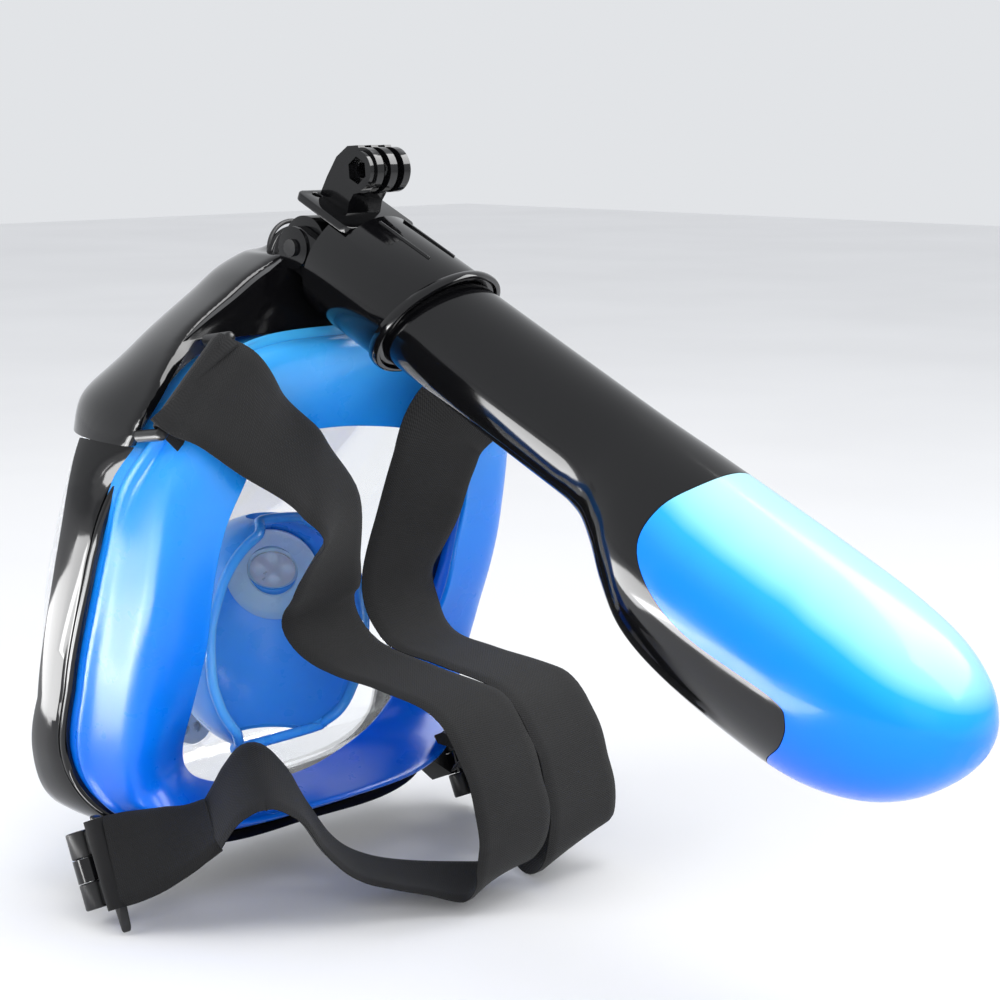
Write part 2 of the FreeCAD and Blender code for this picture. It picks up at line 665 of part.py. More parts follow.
# Each band runs from its upper lug to the middle, down the back side by side with the other one,
# round the lowest turn and forward to its clip.
LEFT_BAND = [((73, 37.6, 185), (-26, 2, 29)), ((65, 41, 180), (-31, -8, 18)),
             ((48, 39, 167), (-34, -12, 9)), ((28, 37, 152), (-34, -14, 2)),
             ((14, 34, 135), (-32, -18, 0)), ((10, 23, 112), (-35, -10, -4)),
             ((7, 17, 97), (-37, -3, -5)), ((0, 25, 83), (-36, -8, 1)), ((-5, 48, 78), (-36, -8, 0)),
             ((-10, 71, 72), (-36, -4, 0)), ((-16, 80, 55), (-37, -3, 0)), ((-19, 83, 39), (-37, -3, 0)),
             ((-22, 82, 22), (-37, -2, 0)), ((-22, 76, 8), (-37, -4, 0)), ((-17, 66, 1.8), (-32, -20, 0)),
             ((-3, 57, 4), (-22, -31, 0)), ((18, 51, 15), (-14, -33, -2)), ((39, 48, 33), (-8, -28, 20)),
             ((57, 46, 47), (0, -12, 35)), ((70, 44, 48), (0, -3, 37)), ((78.4, 41, 42), (0, -9, 36))]
RIGHT_BAND = [((-73, 37.6, 185), (-26, 2, -29)), ((-57, 39, 177), (-32, 6, -15)),
              ((-40, 35, 164), (-34, 6, -10)), ((-33, 32, 148), (-35, 5, -6)),
              ((-31, 26, 129), (-36, 3, -8)), ((-33, 15, 106), (-36, -3, -6)),
              ((-37, 15, 91), (-36, -2, -6)), ((-41, 25, 80), (-37, 1, -3)), ((-44, 46, 78), (-37, 2, -1)),
              ((-49, 68, 73), (-37, -2, 0)), ((-56, 77, 58), (-37, -2, 2)), ((-59, 81, 42), (-37, -2, 2)),
              ((-63, 81, 25), (-37, -2, 1)), ((-65, 76, 9), (-37, 4, 2)), ((-66, 69, 7), (-34, 12, 10)),
              ((-68, 63, 17), (-26, 12, 22)), ((-69, 61, 33), (-14, 4, 33)), ((-73, 53, 43), (-3, -7, 36)),
              ((-78.6, 41.5, 41), (0, -9, 36))]
LOOP_BORE = 2.3
for name, stations in (("left", LEFT_BAND), ("right", RIGHT_BAND)):
    side = 1 if name == "left" else -1
    low = Vector(side * LUG_LOW.x, LUG_LOW.y, LUG_LOW.z)
    high = Vector(side * LUG_HIGH.x, LUG_HIGH.y, LUG_HIGH.z)
    run = high - low
    loop = rod(low + run * 0.06, low + run * 0.94, 4.3)
    band = ribbon(stations).fuse(loop).cut(lug(side, LUG_LOW, LUG_HIGH, LOOP_BORE))
    feature("strap_band_" + name, biggest(band), in_mask)

# ---------------------------------------------------------------- lower clips

barrel = size("clip_barrel")
reach = size("clip_reach")
half_height = size("clip_half_height")
for side, name in ((1, "left"), (-1, "right")):
    lever = Part.makeCylinder(barrel, 8.5, Vector(0, 0, 4.3))
    lever = lever.fuse(Part.makeCylinder(barrel, 8.5, Vector(0, 0, -12.8)))
    lever = lever.fuse(block(-1.6, 1.6, 0, reach, 4.3, 12.8)).fuse(block(-1.6, 1.6, 0, reach, -12.8, -4.3))
    lever = lever.fuse(block(-4.0, 4.0, reach - 1.6, reach + 1.6, -half_height - 2, half_height))
    lever = lever.cut(Part.makeCylinder(size("clip_pin") + 0.05, 60, Vector(0, 0, -30)))
    feature("clip_" + name, biggest(lever.removeSplitter()), on_clip, side)
    pin = doc.addObject("Part::Cylinder", "clip_pin_" + name)
    pin.setExpression("Radius", "Sizes.clip_pin")
    pin.Height = 22.0
    keep(pin, "clip_pin_" + name)
    on_clip(pin, side)
    drop = about_x(size("clip_lean")).multVec(Vector(0, 0, -11))
    pin.setExpression(".Placement.Base.y", "Sizes.clip_y - Sizes.origin_back + (%.4f)" % drop.y)
    pin.setExpression(".Placement.Base.z", "Sizes.clip_z + (%.4f)" % drop.z)
    start = [Vector(x, reach + 2.0, z) for x, z in ((-3.4, -19), (3.4, -19), (3.4, 19), (-3.4, 19))]
    end = [Vector(x - side * 8.5, 50, z) for x, z in ((-2.2, -18), (2.2, -18), (2.2, 18), (-2.2, 18))]
    wires = [Part.makePolygon(corners + [corners[0]]) for corners in (start, end)]
    sleeve = Part.makeLoft(wires, True, True)
    loop = block(-6.2, 6.2, reach - 3.8, reach + 3.2, -19, 19)
    loop = loop.cut(block(-4.1, 4.1, reach - 1.7, reach + 1.7, -30, 30))
    loop = loop.cut(block(-1.8, 1.8, -10, reach, 4.1, 13.0)).cut(block(-1.8, 1.8, -10, reach, -13.0, -4.1))
    feature("strap_sleeve_" + name, biggest(sleeve.fuse(loop)), on_clip, side)

doc.recompute()
for obj in subparts:
    shape = obj.Shape
    if "Invalid" in obj.State or "Error" in obj.State or shape.isNull() or not shape.isValid():
        raise SystemExit("sub-part failed: " + obj.Label)
for obj in subparts:
    obj.Shape.exportStep("parts/%s.step" % obj.Label)
    box = obj.Shape.BoundBox
    print("%-22s %9.0f mm3  x %7.1f %7.1f  y %7.1f %7.1f  z %7.1f %7.1f" % (
        obj.Label, obj.Shape.Volume, box.XMin, box.XMax, box.YMin, box.YMax, box.ZMin, box.ZMax))
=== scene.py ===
import math

import bmesh
import bpy
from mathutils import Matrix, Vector


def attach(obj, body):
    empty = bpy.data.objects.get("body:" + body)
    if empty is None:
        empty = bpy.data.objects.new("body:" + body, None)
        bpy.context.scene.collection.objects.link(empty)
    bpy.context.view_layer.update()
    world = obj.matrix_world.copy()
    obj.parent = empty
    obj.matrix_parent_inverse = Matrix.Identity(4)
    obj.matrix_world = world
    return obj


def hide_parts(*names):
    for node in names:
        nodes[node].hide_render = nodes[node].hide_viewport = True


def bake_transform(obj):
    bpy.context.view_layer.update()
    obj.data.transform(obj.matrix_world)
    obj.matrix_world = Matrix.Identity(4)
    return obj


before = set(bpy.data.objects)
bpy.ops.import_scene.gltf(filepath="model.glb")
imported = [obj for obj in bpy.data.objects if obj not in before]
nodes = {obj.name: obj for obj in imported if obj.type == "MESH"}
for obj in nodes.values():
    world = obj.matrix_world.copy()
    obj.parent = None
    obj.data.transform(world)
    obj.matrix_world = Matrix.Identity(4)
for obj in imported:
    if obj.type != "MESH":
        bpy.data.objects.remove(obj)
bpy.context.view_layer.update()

scene = bpy.context.scene

# ---- places
# Lengths are in millimetres until a point is placed; MM turns them into metres.
MM = 0.001
MASK_BACK = 98.97        # how far the mask's own origin lies in front of the frame's origin
HINGE_Y, HINGE_Z = 17.0, 226.0
FOLD = math.radians(24.8)
NECK = math.radians(15.0)
CLIP_LEAN = math.radians(24.2)
CLIP = (88.0, -12.0, 17.75)
CROWN, CHIN, HALF_WIDTH = 201.0, 12.0, 88.0
MIDDLE_Z = (CROWN + CHIN) / 2
SEAM_Z = 165.0


def at(x, y, z):
    """A point of the mask: x to the left, y back, z up."""
    return Vector((x, y - MASK_BACK, z)) * MM


def on_tube(x, u, v):
    """A point of the folded snorkel: u along it from the hinge, v towards its upper side."""
    return at(x, HINGE_Y + u * math.cos(FOLD) + v * math.sin(FOLD),
              HINGE_Z - u * math.sin(FOLD) + v * math.cos(FOLD))


def on_neck(x, s, v):
    """A point of the neck: s along its axis, negative in front of the hinge."""
    return at(x, HINGE_Y + s * math.cos(NECK) - v * math.sin(NECK),
              HINGE_Z + s * math.sin(NECK) + v * math.cos(NECK))


def on_clip(side, x, y, z):
    """A point of a lower clip: z along its pin, y back."""
    return at(side * CLIP[0] + x, CLIP[1] + y * math.cos(CLIP_LEAN) - z * math.sin(CLIP_LEAN),
              CLIP[2] + y * math.sin(CLIP_LEAN) + z * math.cos(CLIP_LEAN))


# ---- mesh helpers

def between(points, i, t):
    """A point on the smooth run through the points, t of the way from number i to the next."""
    last = len(points) - 1
    a, b = points[i], points[i + 1]
    before, after = points[max(i - 1, 0)], points[min(i + 2, last)]
    return (a + (b - before) * (0.5 * t) + (before * 2 - a * 5 + b * 4 - after) * (0.5 * t * t)
            + (a * 3 - before - b * 3 + after) * (0.5 * t * t * t))


def smooth_run(points, steps):
    run = [between(points, i, k / steps) for i in range(len(points) - 1) for k in range(steps)]
    return run + [points[-1]]


def closed_run(points, steps):
    """A smooth closed run through the points."""
    size, run = len(points), []
    for i in range(size):
        four = [points[(i + k) % size] for k in (-1, 0, 1, 2)]
        run += [between(four, 1, k / steps) for k in range(steps)]
    return run


def with_mirror(half):
    """A left half from top to bottom, and its mirror image back up the right side."""
    return half + [Vector((-p.x, p.y, p.z)) for p in reversed(half[1:-1])]


def profile(pairs, z):
    """y of a side profile [(y, z), ...] at height z, on a smooth run."""
    heights = [p[1] for p in pairs]
    z = min(max(z, heights[0]), heights[-1] - 1e-6)
    i = max(k for k in range(len(heights) - 1) if heights[k] <= z)
    t = (z - heights[i]) / (heights[i + 1] - heights[i])
    return between([Vector((p[0], 0, 0)) for p in pairs], i, t).x


def circle(sides):
    """The (cosine, sine) pairs of a closed circle of points."""
    turns = [2 * math.pi * i / sides for i in range(sides)]
    return [(math.cos(turn), math.sin(turn)) for turn in turns]


def ease(x, low, high):
    t = min(max((x - low) / (high - low), 0.0), 1.0)
    return t * t * (3 - 2 * t)


def piece(name, verts, faces, material):
    mesh = bpy.data.meshes.new(name)
    mesh.from_pydata([tuple(v) for v in verts], [], faces)
    mesh.validate()
    mesh.materials.append(material)
    obj = bpy.data.objects.new(name, mesh)
    scene.collection.objects.link(obj)
    tidy_normals(obj)
    return obj


def shade(mesh, sharp):
    mesh.polygons.foreach_set("use_smooth", [True] * len(mesh.polygons))
    mesh.set_sharp_from_angle(angle=math.radians(sharp))


def tidy_normals(obj, sharp=35.0):
    work = bmesh.new()
    work.from_mesh(obj.data)
    bmesh.ops.recalc_face_normals(work, faces=work.faces)
    work.to_mesh(obj.data)
    work.free()
    shade(obj.data, sharp)
    obj.data.update()


def skin(rows, around=True, along=False, caps=False):
    """Faces over a grid of rows; around closes each row, along closes the last row to the first."""
    count = len(rows[0])
    verts = [p for row in rows for p in row]
    faces = []
    for j in range(len(rows) if along else len(rows) - 1):
        for i in range(count if around else count - 1):
            k = (j + 1) % len(rows)
            n = (i + 1) % count
            faces.append((j * count + i, j * count + n, k * count + n, k * count + i))
    if caps:
        faces.append(tuple(range(count)))
        faces.append(tuple(reversed(range((len(rows) - 1) * count, len(rows) * count))))
    return verts, faces


def skinned(name, rows, material, **how):
    verts, faces = skin(rows, **how)
    return piece(name, verts, faces, material)


def bake(obj):
    """Works the modifiers into the mesh."""
    bpy.context.view_layer.update()
    done = bpy.data.meshes.new_from_object(obj.evaluated_get(bpy.context.evaluated_depsgraph_get()))
    obj.modifiers.clear()
    obj.data = done
    return obj


def carve(obj, cutter, operation="DIFFERENCE"):
    cut = obj.modifiers.new("cut", "BOOLEAN")
    cut.object = cutter
    cut.operation = operation
    cut.solver = "EXACT"
    bake(obj)
    bpy.data.objects.remove(cutter)
    tidy_normals(obj)


def soften(obj, width, segments=3):
    """Small rounds on the sharp edges."""
    bevel = obj.modifiers.new("round", "BEVEL")
    bevel.width = width * MM
    bevel.segments = segments
    bevel.limit_method = "ANGLE"
    bevel.angle_limit = math.radians(35.0)
    bevel.harden_normals = False
    bake(obj)
    tidy_normals(obj, 40.0)
    return obj


def thicken(obj, thickness, offset):
    """Gives a sheet of faces its wall: offset -1 grows it inwards, 0 to both sides."""
    solid = obj.modifiers.new("thick", "SOLIDIFY")
    solid.thickness = thickness * MM
    solid.offset = offset
    return bake(obj)


def join(main, *others):
    """One piece out of several; the first keeps its name."""
    work = bmesh.new()
    work.from_mesh(main.data)
    for other in others:
        shift = len(main.data.materials)
        for material in other.data.materials:
            main.data.materials.append(material)
        start = len(work.faces)
        work.from_mesh(other.data)
        work.faces.ensure_lookup_table()
        for face in work.faces[start:]:
            face.material_index += shift
        bpy.data.objects.remove(other)
    work.to_mesh(main.data)
    work.free()
    shade(main.data, 40)
    return main


def tube_between(name, start, end, radius, material, sides=32, bore=0.0):
    """A round bar, or a pipe when it has a bore; radii in millimetres."""
    run = end - start
    spin = run.to_track_quat("Z", "Y").to_matrix()
    rings = [(start, radius), (end, radius)]
    if bore:
        rings = [(start, radius), (end, radius), (end, bore), (start, bore)]
    rows = [[centre + spin @ Vector((c, s, 0)) * r * MM for c, s in circle(sides)] for centre, r in rings]
    return skinned(name, rows, material, along=bool(bore), caps=not bore)


def prism(name, corners, x0, x1, place, material):
    """A solid with a side outline [(u, v), ...] between two x values."""
    return skinned(name, [[place(x, u, v) for u, v in corners] for x in (x0, x1)], material, caps=True)


def corners_of(y0, y1, z0, z1):
    """The corners of a rectangle seen from the side."""
    return [(y0, z0), (y1, z0), (y1, z1), (y0, z1)]


# ---- materials

def new_material(name, colour, roughness, **extra):
    material = bpy.data.materials.new(name)
    material.use_nodes = True
    shader = material.node_tree.nodes["Principled BSDF"]
    shader.inputs["Base Color"].default_value = (*colour, 1.0)
    shader.inputs["Roughness"].default_value = roughness
    for key, value in extra.items():
        shader.inputs[key.replace("_", " ")].default_value = value
    return material


def shader_input(material, socket):
    return material.node_tree.nodes["Principled BSDF"].inputs[socket]


def soften_shine(material):
    shader_input(material, "Specular IOR Level").default_value = 0.3


def map_range(tree, source, from_min, from_max, to_min=0.0, to_max=1.0):
    ramp = tree.nodes.new("ShaderNodeMapRange")
    ramp.inputs["From Min"].default_value = from_min
    ramp.inputs["From Max"].default_value = from_max
    ramp.inputs["To Min"].default_value = to_min
    ramp.inputs["To Max"].default_value = to_max
    tree.links.new(source, ramp.inputs["Value"])
    return ramp.outputs["Result"]


def worked(tree, operation, *inputs):
    """A maths node; each input is a number or the output of another node."""
    node = tree.nodes.new("ShaderNodeMath")
    node.operation = operation
    for slot, value in enumerate(inputs):
        if isinstance(value, float):
            node.inputs[slot].default_value = value
        else:
            tree.links.new(value, node.inputs[slot])
    return node.outputs[0]


def noise_node(material, scale, detail):
    tree = material.node_tree
    where = tree.nodes.new("ShaderNodeTexCoord")
    grain = tree.nodes.new("ShaderNodeTexNoise")
    grain.inputs["Scale"].default_value = scale
    grain.inputs["Detail"].default_value = detail
    tree.links.new(where.outputs["Object"], grain.inputs["Vector"])
    return grain


def spread(material, source, low, high, socket):
    """Feeds a 0-1 value, mapped to low-high, into a shader socket."""
    tree = material.node_tree
    tree.links.new(map_range(tree, source, 0.3, 0.7, low, high), shader_input(material, socket))


def bump(material, source, strength, distance):
    tree = material.node_tree
    node = tree.nodes.new("ShaderNodeBump")
    node.inputs["Strength"].default_value = strength
    node.inputs["Distance"].default_value = distance
    tree.links.new(source, node.inputs["Height"])
    tree.links.new(node.outputs["Normal"], shader_input(material, "Normal"))


def colours(material, source, stops):
    tree = material.node_tree
    ramp = tree.nodes.new("ShaderNodeValToRGB")
    ramp.color_ramp.elements[0].position = stops[0][0]
    ramp.color_ramp.elements[0].color = (*stops[0][1], 1.0)
    ramp.color_ramp.elements[1].position = stops[-1][0]
    ramp.color_ramp.elements[1].color = (*stops[-1][1], 1.0)
    for position, colour in stops[1:-1]:
        ramp.color_ramp.elements.new(position).color = (*colour, 1.0)
    tree.links.new(source, ramp.inputs["Fac"])
    tree.links.new(ramp.outputs["Color"], shader_input(material, "Base Color"))


def gloss(name, colour, roughness=0.08, coat=0.0, ior=1.46):
    """Moulded glossy plastic with faint flow waviness and handling haze."""
    material = new_material(name, colour, roughness, Coat_Weight=coat, Coat_Roughness=0.05, IOR=ior,
                            Coat_IOR=1.5)
    haze = noise_node(material, 60.0, 5.0)
    spread(material, haze.outputs["Fac"], roughness * 0.75, roughness * 1.5, "Roughness")
    flow = noise_node(material, 22.0, 2.0)
    bump(material, flow.outputs["Fac"], 0.05, 0.0006)
    return material


def satin(name, colour, roughness):
    """Fine-grained matt plastic."""
    material = new_material(name, colour, roughness, IOR=1.48)
    grain = noise_node(material, 1400.0, 2.0)
    haze = noise_node(material, 45.0, 3.0)
    spread(material, haze.outputs["Fac"], roughness * 0.85, roughness * 1.15, "Roughness")
    bump(material, grain.outputs["Fac"], 0.25, 0.0001)
    return material


def height_in(material, low, high):
    """0 to 1 over a height range of the object."""
    tree = material.node_tree
    where = tree.nodes.new("ShaderNodeTexCoord")
    split = tree.nodes.new("ShaderNodeSeparateXYZ")
    tree.links.new(where.outputs["Object"], split.inputs["Vector"])
    return map_range(tree, split.outputs["Z"], low * MM, high * MM)


def mixed(material, first, second, factor):
    tree = material.node_tree
    add = tree.nodes.new("ShaderNodeMix")
    add.inputs[0].default_value = factor
    tree.links.new(first, add.inputs[2])
    tree.links.new(second, add.inputs[3])
    return add.outputs[0]


def silicone(name, stops, low, high, clear):
    """Translucent silicone whose colour ramps with height, cloudy inside; on the face skirt the ramp, deeper
    towards the bottom and lighter at the top, is painted light and shade.
    """
    material = new_material(name, stops[1][1], 0.3, Transmission_Weight=clear, IOR=1.41, Coat_Weight=0.35,
                            Coat_Roughness=0.22, Subsurface_Weight=0.35, Subsurface_Scale=0.006)
    shader_input(material, "Subsurface Radius").default_value = (0.3, 0.7, 1.0)
    cloud = noise_node(material, 16.0, 3.0)
    colours(material, mixed(material, height_in(material, low, high), cloud.outputs["Fac"], 0.3), stops)
    haze = noise_node(material, 70.0, 4.0)
    spread(material, haze.outputs["Fac"], 0.24, 0.38, "Roughness")
    ripple = noise_node(material, 30.0, 2.0)
    bump(material, ripple.outputs["Fac"], 0.12, 0.001)
    return material


def woven(name, colour, rib, strand):
    """Elastic webbing: ribs across the band and finer strands along it, from the band's own UVs."""
    material = new_material(name, colour, 0.82, Sheen_Weight=0.06, Sheen_Roughness=0.5, IOR=1.3)
    tree = material.node_tree
    where = tree.nodes.new("ShaderNodeUVMap")
    where.uv_map = "Band"
    split = tree.nodes.new("ShaderNodeSeparateXYZ")
    tree.links.new(where.outputs["UV"], split.inputs["Vector"])

    def ripple(source, pitch):
        return worked(tree, "SINE", worked(tree, "MULTIPLY_ADD", source, 2 * math.pi / pitch, 0.0))

    ribs, strands = ripple(split.outputs["Y"], rib), ripple(split.outputs["X"], strand)
    weave = worked(tree, "MULTIPLY_ADD", ribs, 0.6, worked(tree, "MULTIPLY", ribs, strands))
    fuzz = noise_node(material, 2600.0, 2.0)
    bump(material, worked(tree, "MULTIPLY_ADD", fuzz.outputs["Fac"], 0.9, weave), 0.45, 0.00012)
    wear = noise_node(material, 36.0, 4.0)
    dark, light = (tuple(c * share for c in colour) for share in (0.72, 1.35))
    colours(material, wear.outputs["Fac"], [(0.25, dark), (0.5, colour), (0.8, light)])
    return material


black = gloss("gloss_black_plastic", (0.003, 0.003, 0.0035))
black_satin = satin("satin_black_plastic", (0.006, 0.006, 0.0065), 0.34)
lens_clear = new_material("clear_lens", (0.93, 0.97, 1.0), 0.02, Transmission_Weight=1.0, IOR=1.49,
                          Alpha=0.35)
spread(lens_clear, noise_node(lens_clear, 35.0, 3.0).outputs["Fac"], 0.015, 0.05, "Roughness")
# The skirt's colours run from deep blue low down to light sky blue at the top: a painted highlight of the
# light from above, with painted shade at the bottom.
SKIRT_PAINTED_LIGHT_RAMP = [(0.08, (0.0, 0.09, 0.7)), (0.35, (0.0, 0.18, 0.88)), (0.62, (0.005, 0.26, 0.92)),
                (0.92, (0.07, 0.46, 0.95))]
skirt_blue = silicone("azure_silicone", SKIRT_PAINTED_LIGHT_RAMP, 15, 205, 0.0)
soften_shine(skirt_blue)
cup_blue = silicone("cup_silicone", [(0.1, (0.02, 0.28, 1.0)), (0.5, (0.1, 0.42, 1.0)),
                                     (0.95, (0.03, 0.3, 1.0))], 30, 130, 0.0)
frosted = silicone("frosted_silicone", [(0.1, (0.3, 0.55, 0.86)), (0.5, (0.45, 0.7, 0.9)),
                                        (0.9, (0.75, 0.88, 0.96))], 60, 120, 0.0)
cap_blue = gloss("gloss_azure_plastic", (0.0, 0.2, 1.0), 0.18, 0.12, 1.42)
soften_shine(cap_blue)


def across_tube(material, low, high):
    """0 to 1 over a range of the folded snorkel's lower-to-upper direction."""
    tree = material.node_tree
    where = tree.nodes.new("ShaderNodeTexCoord")
    along = tree.nodes.new("ShaderNodeVectorMath")
    along.operation = "DOT_PRODUCT"
    tree.links.new(where.outputs["Object"], along.inputs[0])
    upwards = on_tube(0, 0, 1) - on_tube(0, 0, 0)
    upwards.normalize()
    along.inputs[1].default_value = upwards
    start = on_tube(0, 0, 0).dot(upwards)
    return map_range(tree, along.outputs["Value"], start + low * MM, start + high * MM)


# The cap's colour runs from deep blue on its lower side to pale cyan on its upper side; the pale cyan is a
# painted reflection of the bright light above.
cap_cloud = noise_node(cap_blue, 14.0, 3.0)
CAP_PAINTED_SHEEN_RAMP = [(0.1, (0.0, 0.15, 0.92)), (0.6, (0.0, 0.22, 0.95)), (0.71, (0.01, 0.33, 0.95)),
              (0.78, (0.22, 0.62, 0.88)), (0.9, (0.42, 0.78, 0.88))]
colours(cap_blue, mixed(cap_blue, across_tube(cap_blue, -34, 20), cap_cloud.outputs["Fac"], 0.16), CAP_PAINTED_SHEEN_RAMP)
elastic = woven("woven_elastic", (0.0075, 0.0075, 0.008), 0.0008, 0.0011)
webbing = woven("woven_webbing", (0.0055, 0.0055, 0.006), 0.0007, 0.001)
steel = new_material("pin_steel", (0.6, 0.61, 0.62), 0.3, Metallic=1.0)
spread(steel, noise_node(steel, 500.0, 2.0).outputs["Fac"], 0.22, 0.4, "Roughness")
seal_black = satin("seal_rubber", (0.015, 0.015, 0.016), 0.55)
valve_white = silicone("valve_silicone", [(0.1, (0.7, 0.8, 0.88)), (0.5, (0.8, 0.88, 0.93)),
                                          (0.9, (0.9, 0.94, 0.97))], 20, 160, 0.3)
inner_grey = satin("valve_plastic", (0.55, 0.6, 0.64), 0.4)
foam = satin("float_foam", (0.8, 0.8, 0.76), 0.75)

CAD_LOOKS = [
    (lens_clear, "lens"),
    (black, "frame_ring brow_shell neck_collar snorkel_head head_lip snorkel_tube camera_bracket "
            "chin_drain_cover"),
    (black_satin, "hinge_stem skirt_clamp_ring clip_left clip_right strap_lug_left strap_lug_right "
                  "hinge_pin_left hinge_pin_right intake_grille"),
    (skirt_blue, "face_skirt"),
    (cup_blue, "nose_cup"),
    (cap_blue, "drytop_cap"),
    (elastic, "strap_band_left strap_band_right"),
    (webbing, "strap_sleeve_left strap_sleeve_right"),
    (steel, "clip_pin_left clip_pin_right float_pin"),
    (seal_black, "stem_seal tube_seal"),
    (valve_white, "inhale_flap_left inhale_flap_right chin_drain_flap valve_plug"),
    (frosted, "inhale_seat_left inhale_seat_right"),
    (inner_grey, "chin_drain_body valve_seat valve_cage float_arm air_channel_divider"),
    (foam, "float_body"),
]
for look, names in CAD_LOOKS:
    for name in names.split():
        slots = nodes[name].data.materials
        slots.clear()
        slots.append(look)


def stands_for(obj, node, body):
    """The piece replaces a CAD node and moves with its body."""
    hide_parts(node)
    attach(obj, body)


# ---- mask outline

OUTLINE = [(0, 1), (0.43, 0.975), (0.75, 0.85), (0.95, 0.61), (1, 0.17), (0.99, -0.3),
           (0.955, -0.6), (0.86, -0.80), (0.56, -0.9), (0, -0.92)]
FRAME_REAR = [(16, -10), (9, 12), (-13, 28), (-29, 48), (-22, 78), (-6, 125), (2, 150), (14, 166), (21, 180),
              (19, 192), (12, 206), (10, 250)]
FRAME_FRONT = [(-40, -10), (-42, 14), (-49, 32), (-50, 50), (-42, 72), (-26, 125), (-17, 165), (-12, 186),
               (-10, 250)]
SKIRT_REAR = [(26, -10), (19, 12), (5, 26), (-4, 40), (-1, 60), (5, 82), (14, 110), (19, 132), (23, 155),
              (27, 170), (26, 186), (20, 199), (18, 250)]


def closed_outline():
    """The frame's closed outline as (x, z) with outward normals, from the crown round by the left side."""
    half = [Vector((HALF_WIDTH * x, 0, MIDDLE_Z + (CROWN - MIDDLE_Z) * z)) for x, z in OUTLINE]
    points = closed_run(with_mirror(half), 12)
    out = []
    for i, p in enumerate(points):
        run = points[(i + 1) % len(points)] - points[i - 1]
        normal = Vector((-run.z, 0, run.x)).normalized()
        out.append((p, normal if normal.dot(p - Vector((0, 0, MIDDLE_Z))) > 0 else -normal))
    return out


RING = closed_outline()

# ---- lens

LENS_RIM_Y, LENS_LEAN, LENS_DEPTH, LENS_WALL = -29.0, 0.2, 46.0, 2.6
LENS_FLATTENING = 0.42   # how much shallower the dome is at its upper edge
FRAME_HOLD = 3.25        # how far the lens edge lies inside the frame's outline
DOME_STEPS, DOME_TURN = 19, math.radians(89.5)
DRAIN_RADIUS, DRAIN_REACH = 11.2, 30 * MM


def lens_row(forward, scale, shrink):
    """One ring of the dome; forward is positive behind the rim and negative in front of it."""
    row = []
    for p, normal in RING:
        q = p - normal * (FRAME_HOLD + shrink)
        x = q.x * scale
        z = MIDDLE_Z + (q.z - MIDDLE_Z) * scale
        shallow = 1 if forward > 0 else 1 - LENS_FLATTENING * ease(z, 105, 172)
        row.append(at(x, LENS_RIM_Y + LENS_LEAN * (z - MIDDLE_Z) + forward * shallow, z))
    return row


def lens_rows(shrink):
    rows = [lens_row(behind_rim, 1.0, shrink) for behind_rim in (6.0, 3.0, 0.0)]
    for step in range(1, DOME_STEPS + 1):
        turn = DOME_TURN * step / DOME_STEPS
        rows.append(lens_row((shrink - LENS_DEPTH) * math.sin(turn), math.cos(turn), shrink))
    return rows


def lens_shell():
    """The outer and the inner dome, joined at the rim and closed at the front."""
    verts, faces = skin(lens_rows(0.0))
    outer_count, ring_count = len(verts), len(RING)
    inner_verts, inner_faces = skin(lens_rows(LENS_WALL))
    faces += [tuple(i + outer_count for i in reversed(f)) for f in inner_faces]
    for i in range(ring_count):
        n = (i + 1) % ring_count
        faces.append((i, n, outer_count + n, outer_count + i))
    front = outer_count - ring_count
    faces.append(tuple(range(front, front + ring_count)))
    faces.append(tuple(reversed(range(outer_count + front, outer_count + front + ring_count))))
    return piece("lens_dome", verts + inner_verts, faces, lens_clear)


lens = lens_shell()
carve(lens, prism("above", corners_of(-150, 60, SEAM_Z + 0.1, 240), -120, 120, at, lens_clear))
drain, drain_axis = at(0, -73.5, 42), Vector((0, -0.9659, -0.2588))
carve(lens, tube_between("drain_hole", drain - drain_axis * DRAIN_REACH, drain + drain_axis * DRAIN_REACH,
                         DRAIN_RADIUS, lens_clear, 64))
stands_for(lens, "lens", "mask")

# ---- frame: side strips and chin

def rear_tuck(z):
    """How far the frame's rear edge turns inwards; more where the strips flare into the brow."""
    return 0.4 + 4.2 * ease(z, 132, 158)


def frame_section(p, normal):
    """The strip's section: front edge, outer face, groove, rear bead and back along the inside."""
    front = profile(FRAME_FRONT, p.z)
    rear = profile(FRAME_REAR, p.z)
    depth = rear - front
    tuck = rear_tuck(p.z)
    shape = [(0.0, -0.9), (0.5, -0.15), (1.4, 0.1), (depth * 0.25, 0.55), (depth * 0.5, 0.6 - tuck * 0.15),
             (depth * 0.75, 0.35 - tuck * 0.5), (depth - 4.2, 0.05 - tuck * 0.8),
             (depth - 3.4, -0.1 - tuck * 0.85), (depth - 3.1, -0.75 - tuck * 0.87),
             (depth - 2.7, -0.75 - tuck * 0.9), (depth - 2.4, 0.0 - tuck * 0.9),
             (depth - 1.4, 0.3 - tuck * 0.95), (depth - 0.5, 0.0 - tuck), (depth, -0.8 - tuck),
             (depth, -2.3 - tuck * 0.9), (depth - 0.6, -3.0 - tuck * 0.85), (depth - 4.0, -3.0 - tuck * 0.6),
             (depth * 0.5, -3.0 - tuck * 0.1), (1.4, -3.0), (0.3, -2.7), (0.0, -2.1)]
    return [at(p.x + normal.x * out, front + back, p.z + normal.z * out) for back, out in shape]


strip = [(p, n) for p, n in RING if p.z < SEAM_Z]
seam_left, seam_right = strip[0], strip[-1]


def at_seam(a):
    """The outline point moved along the outline to the seam's height."""
    p, n = a
    side = math.copysign(1, p.x)
    shift = (SEAM_Z - p.z) * n.z / max(n.x * side, 0.2) * side
    return Vector((p.x - shift, 0, SEAM_Z)), n


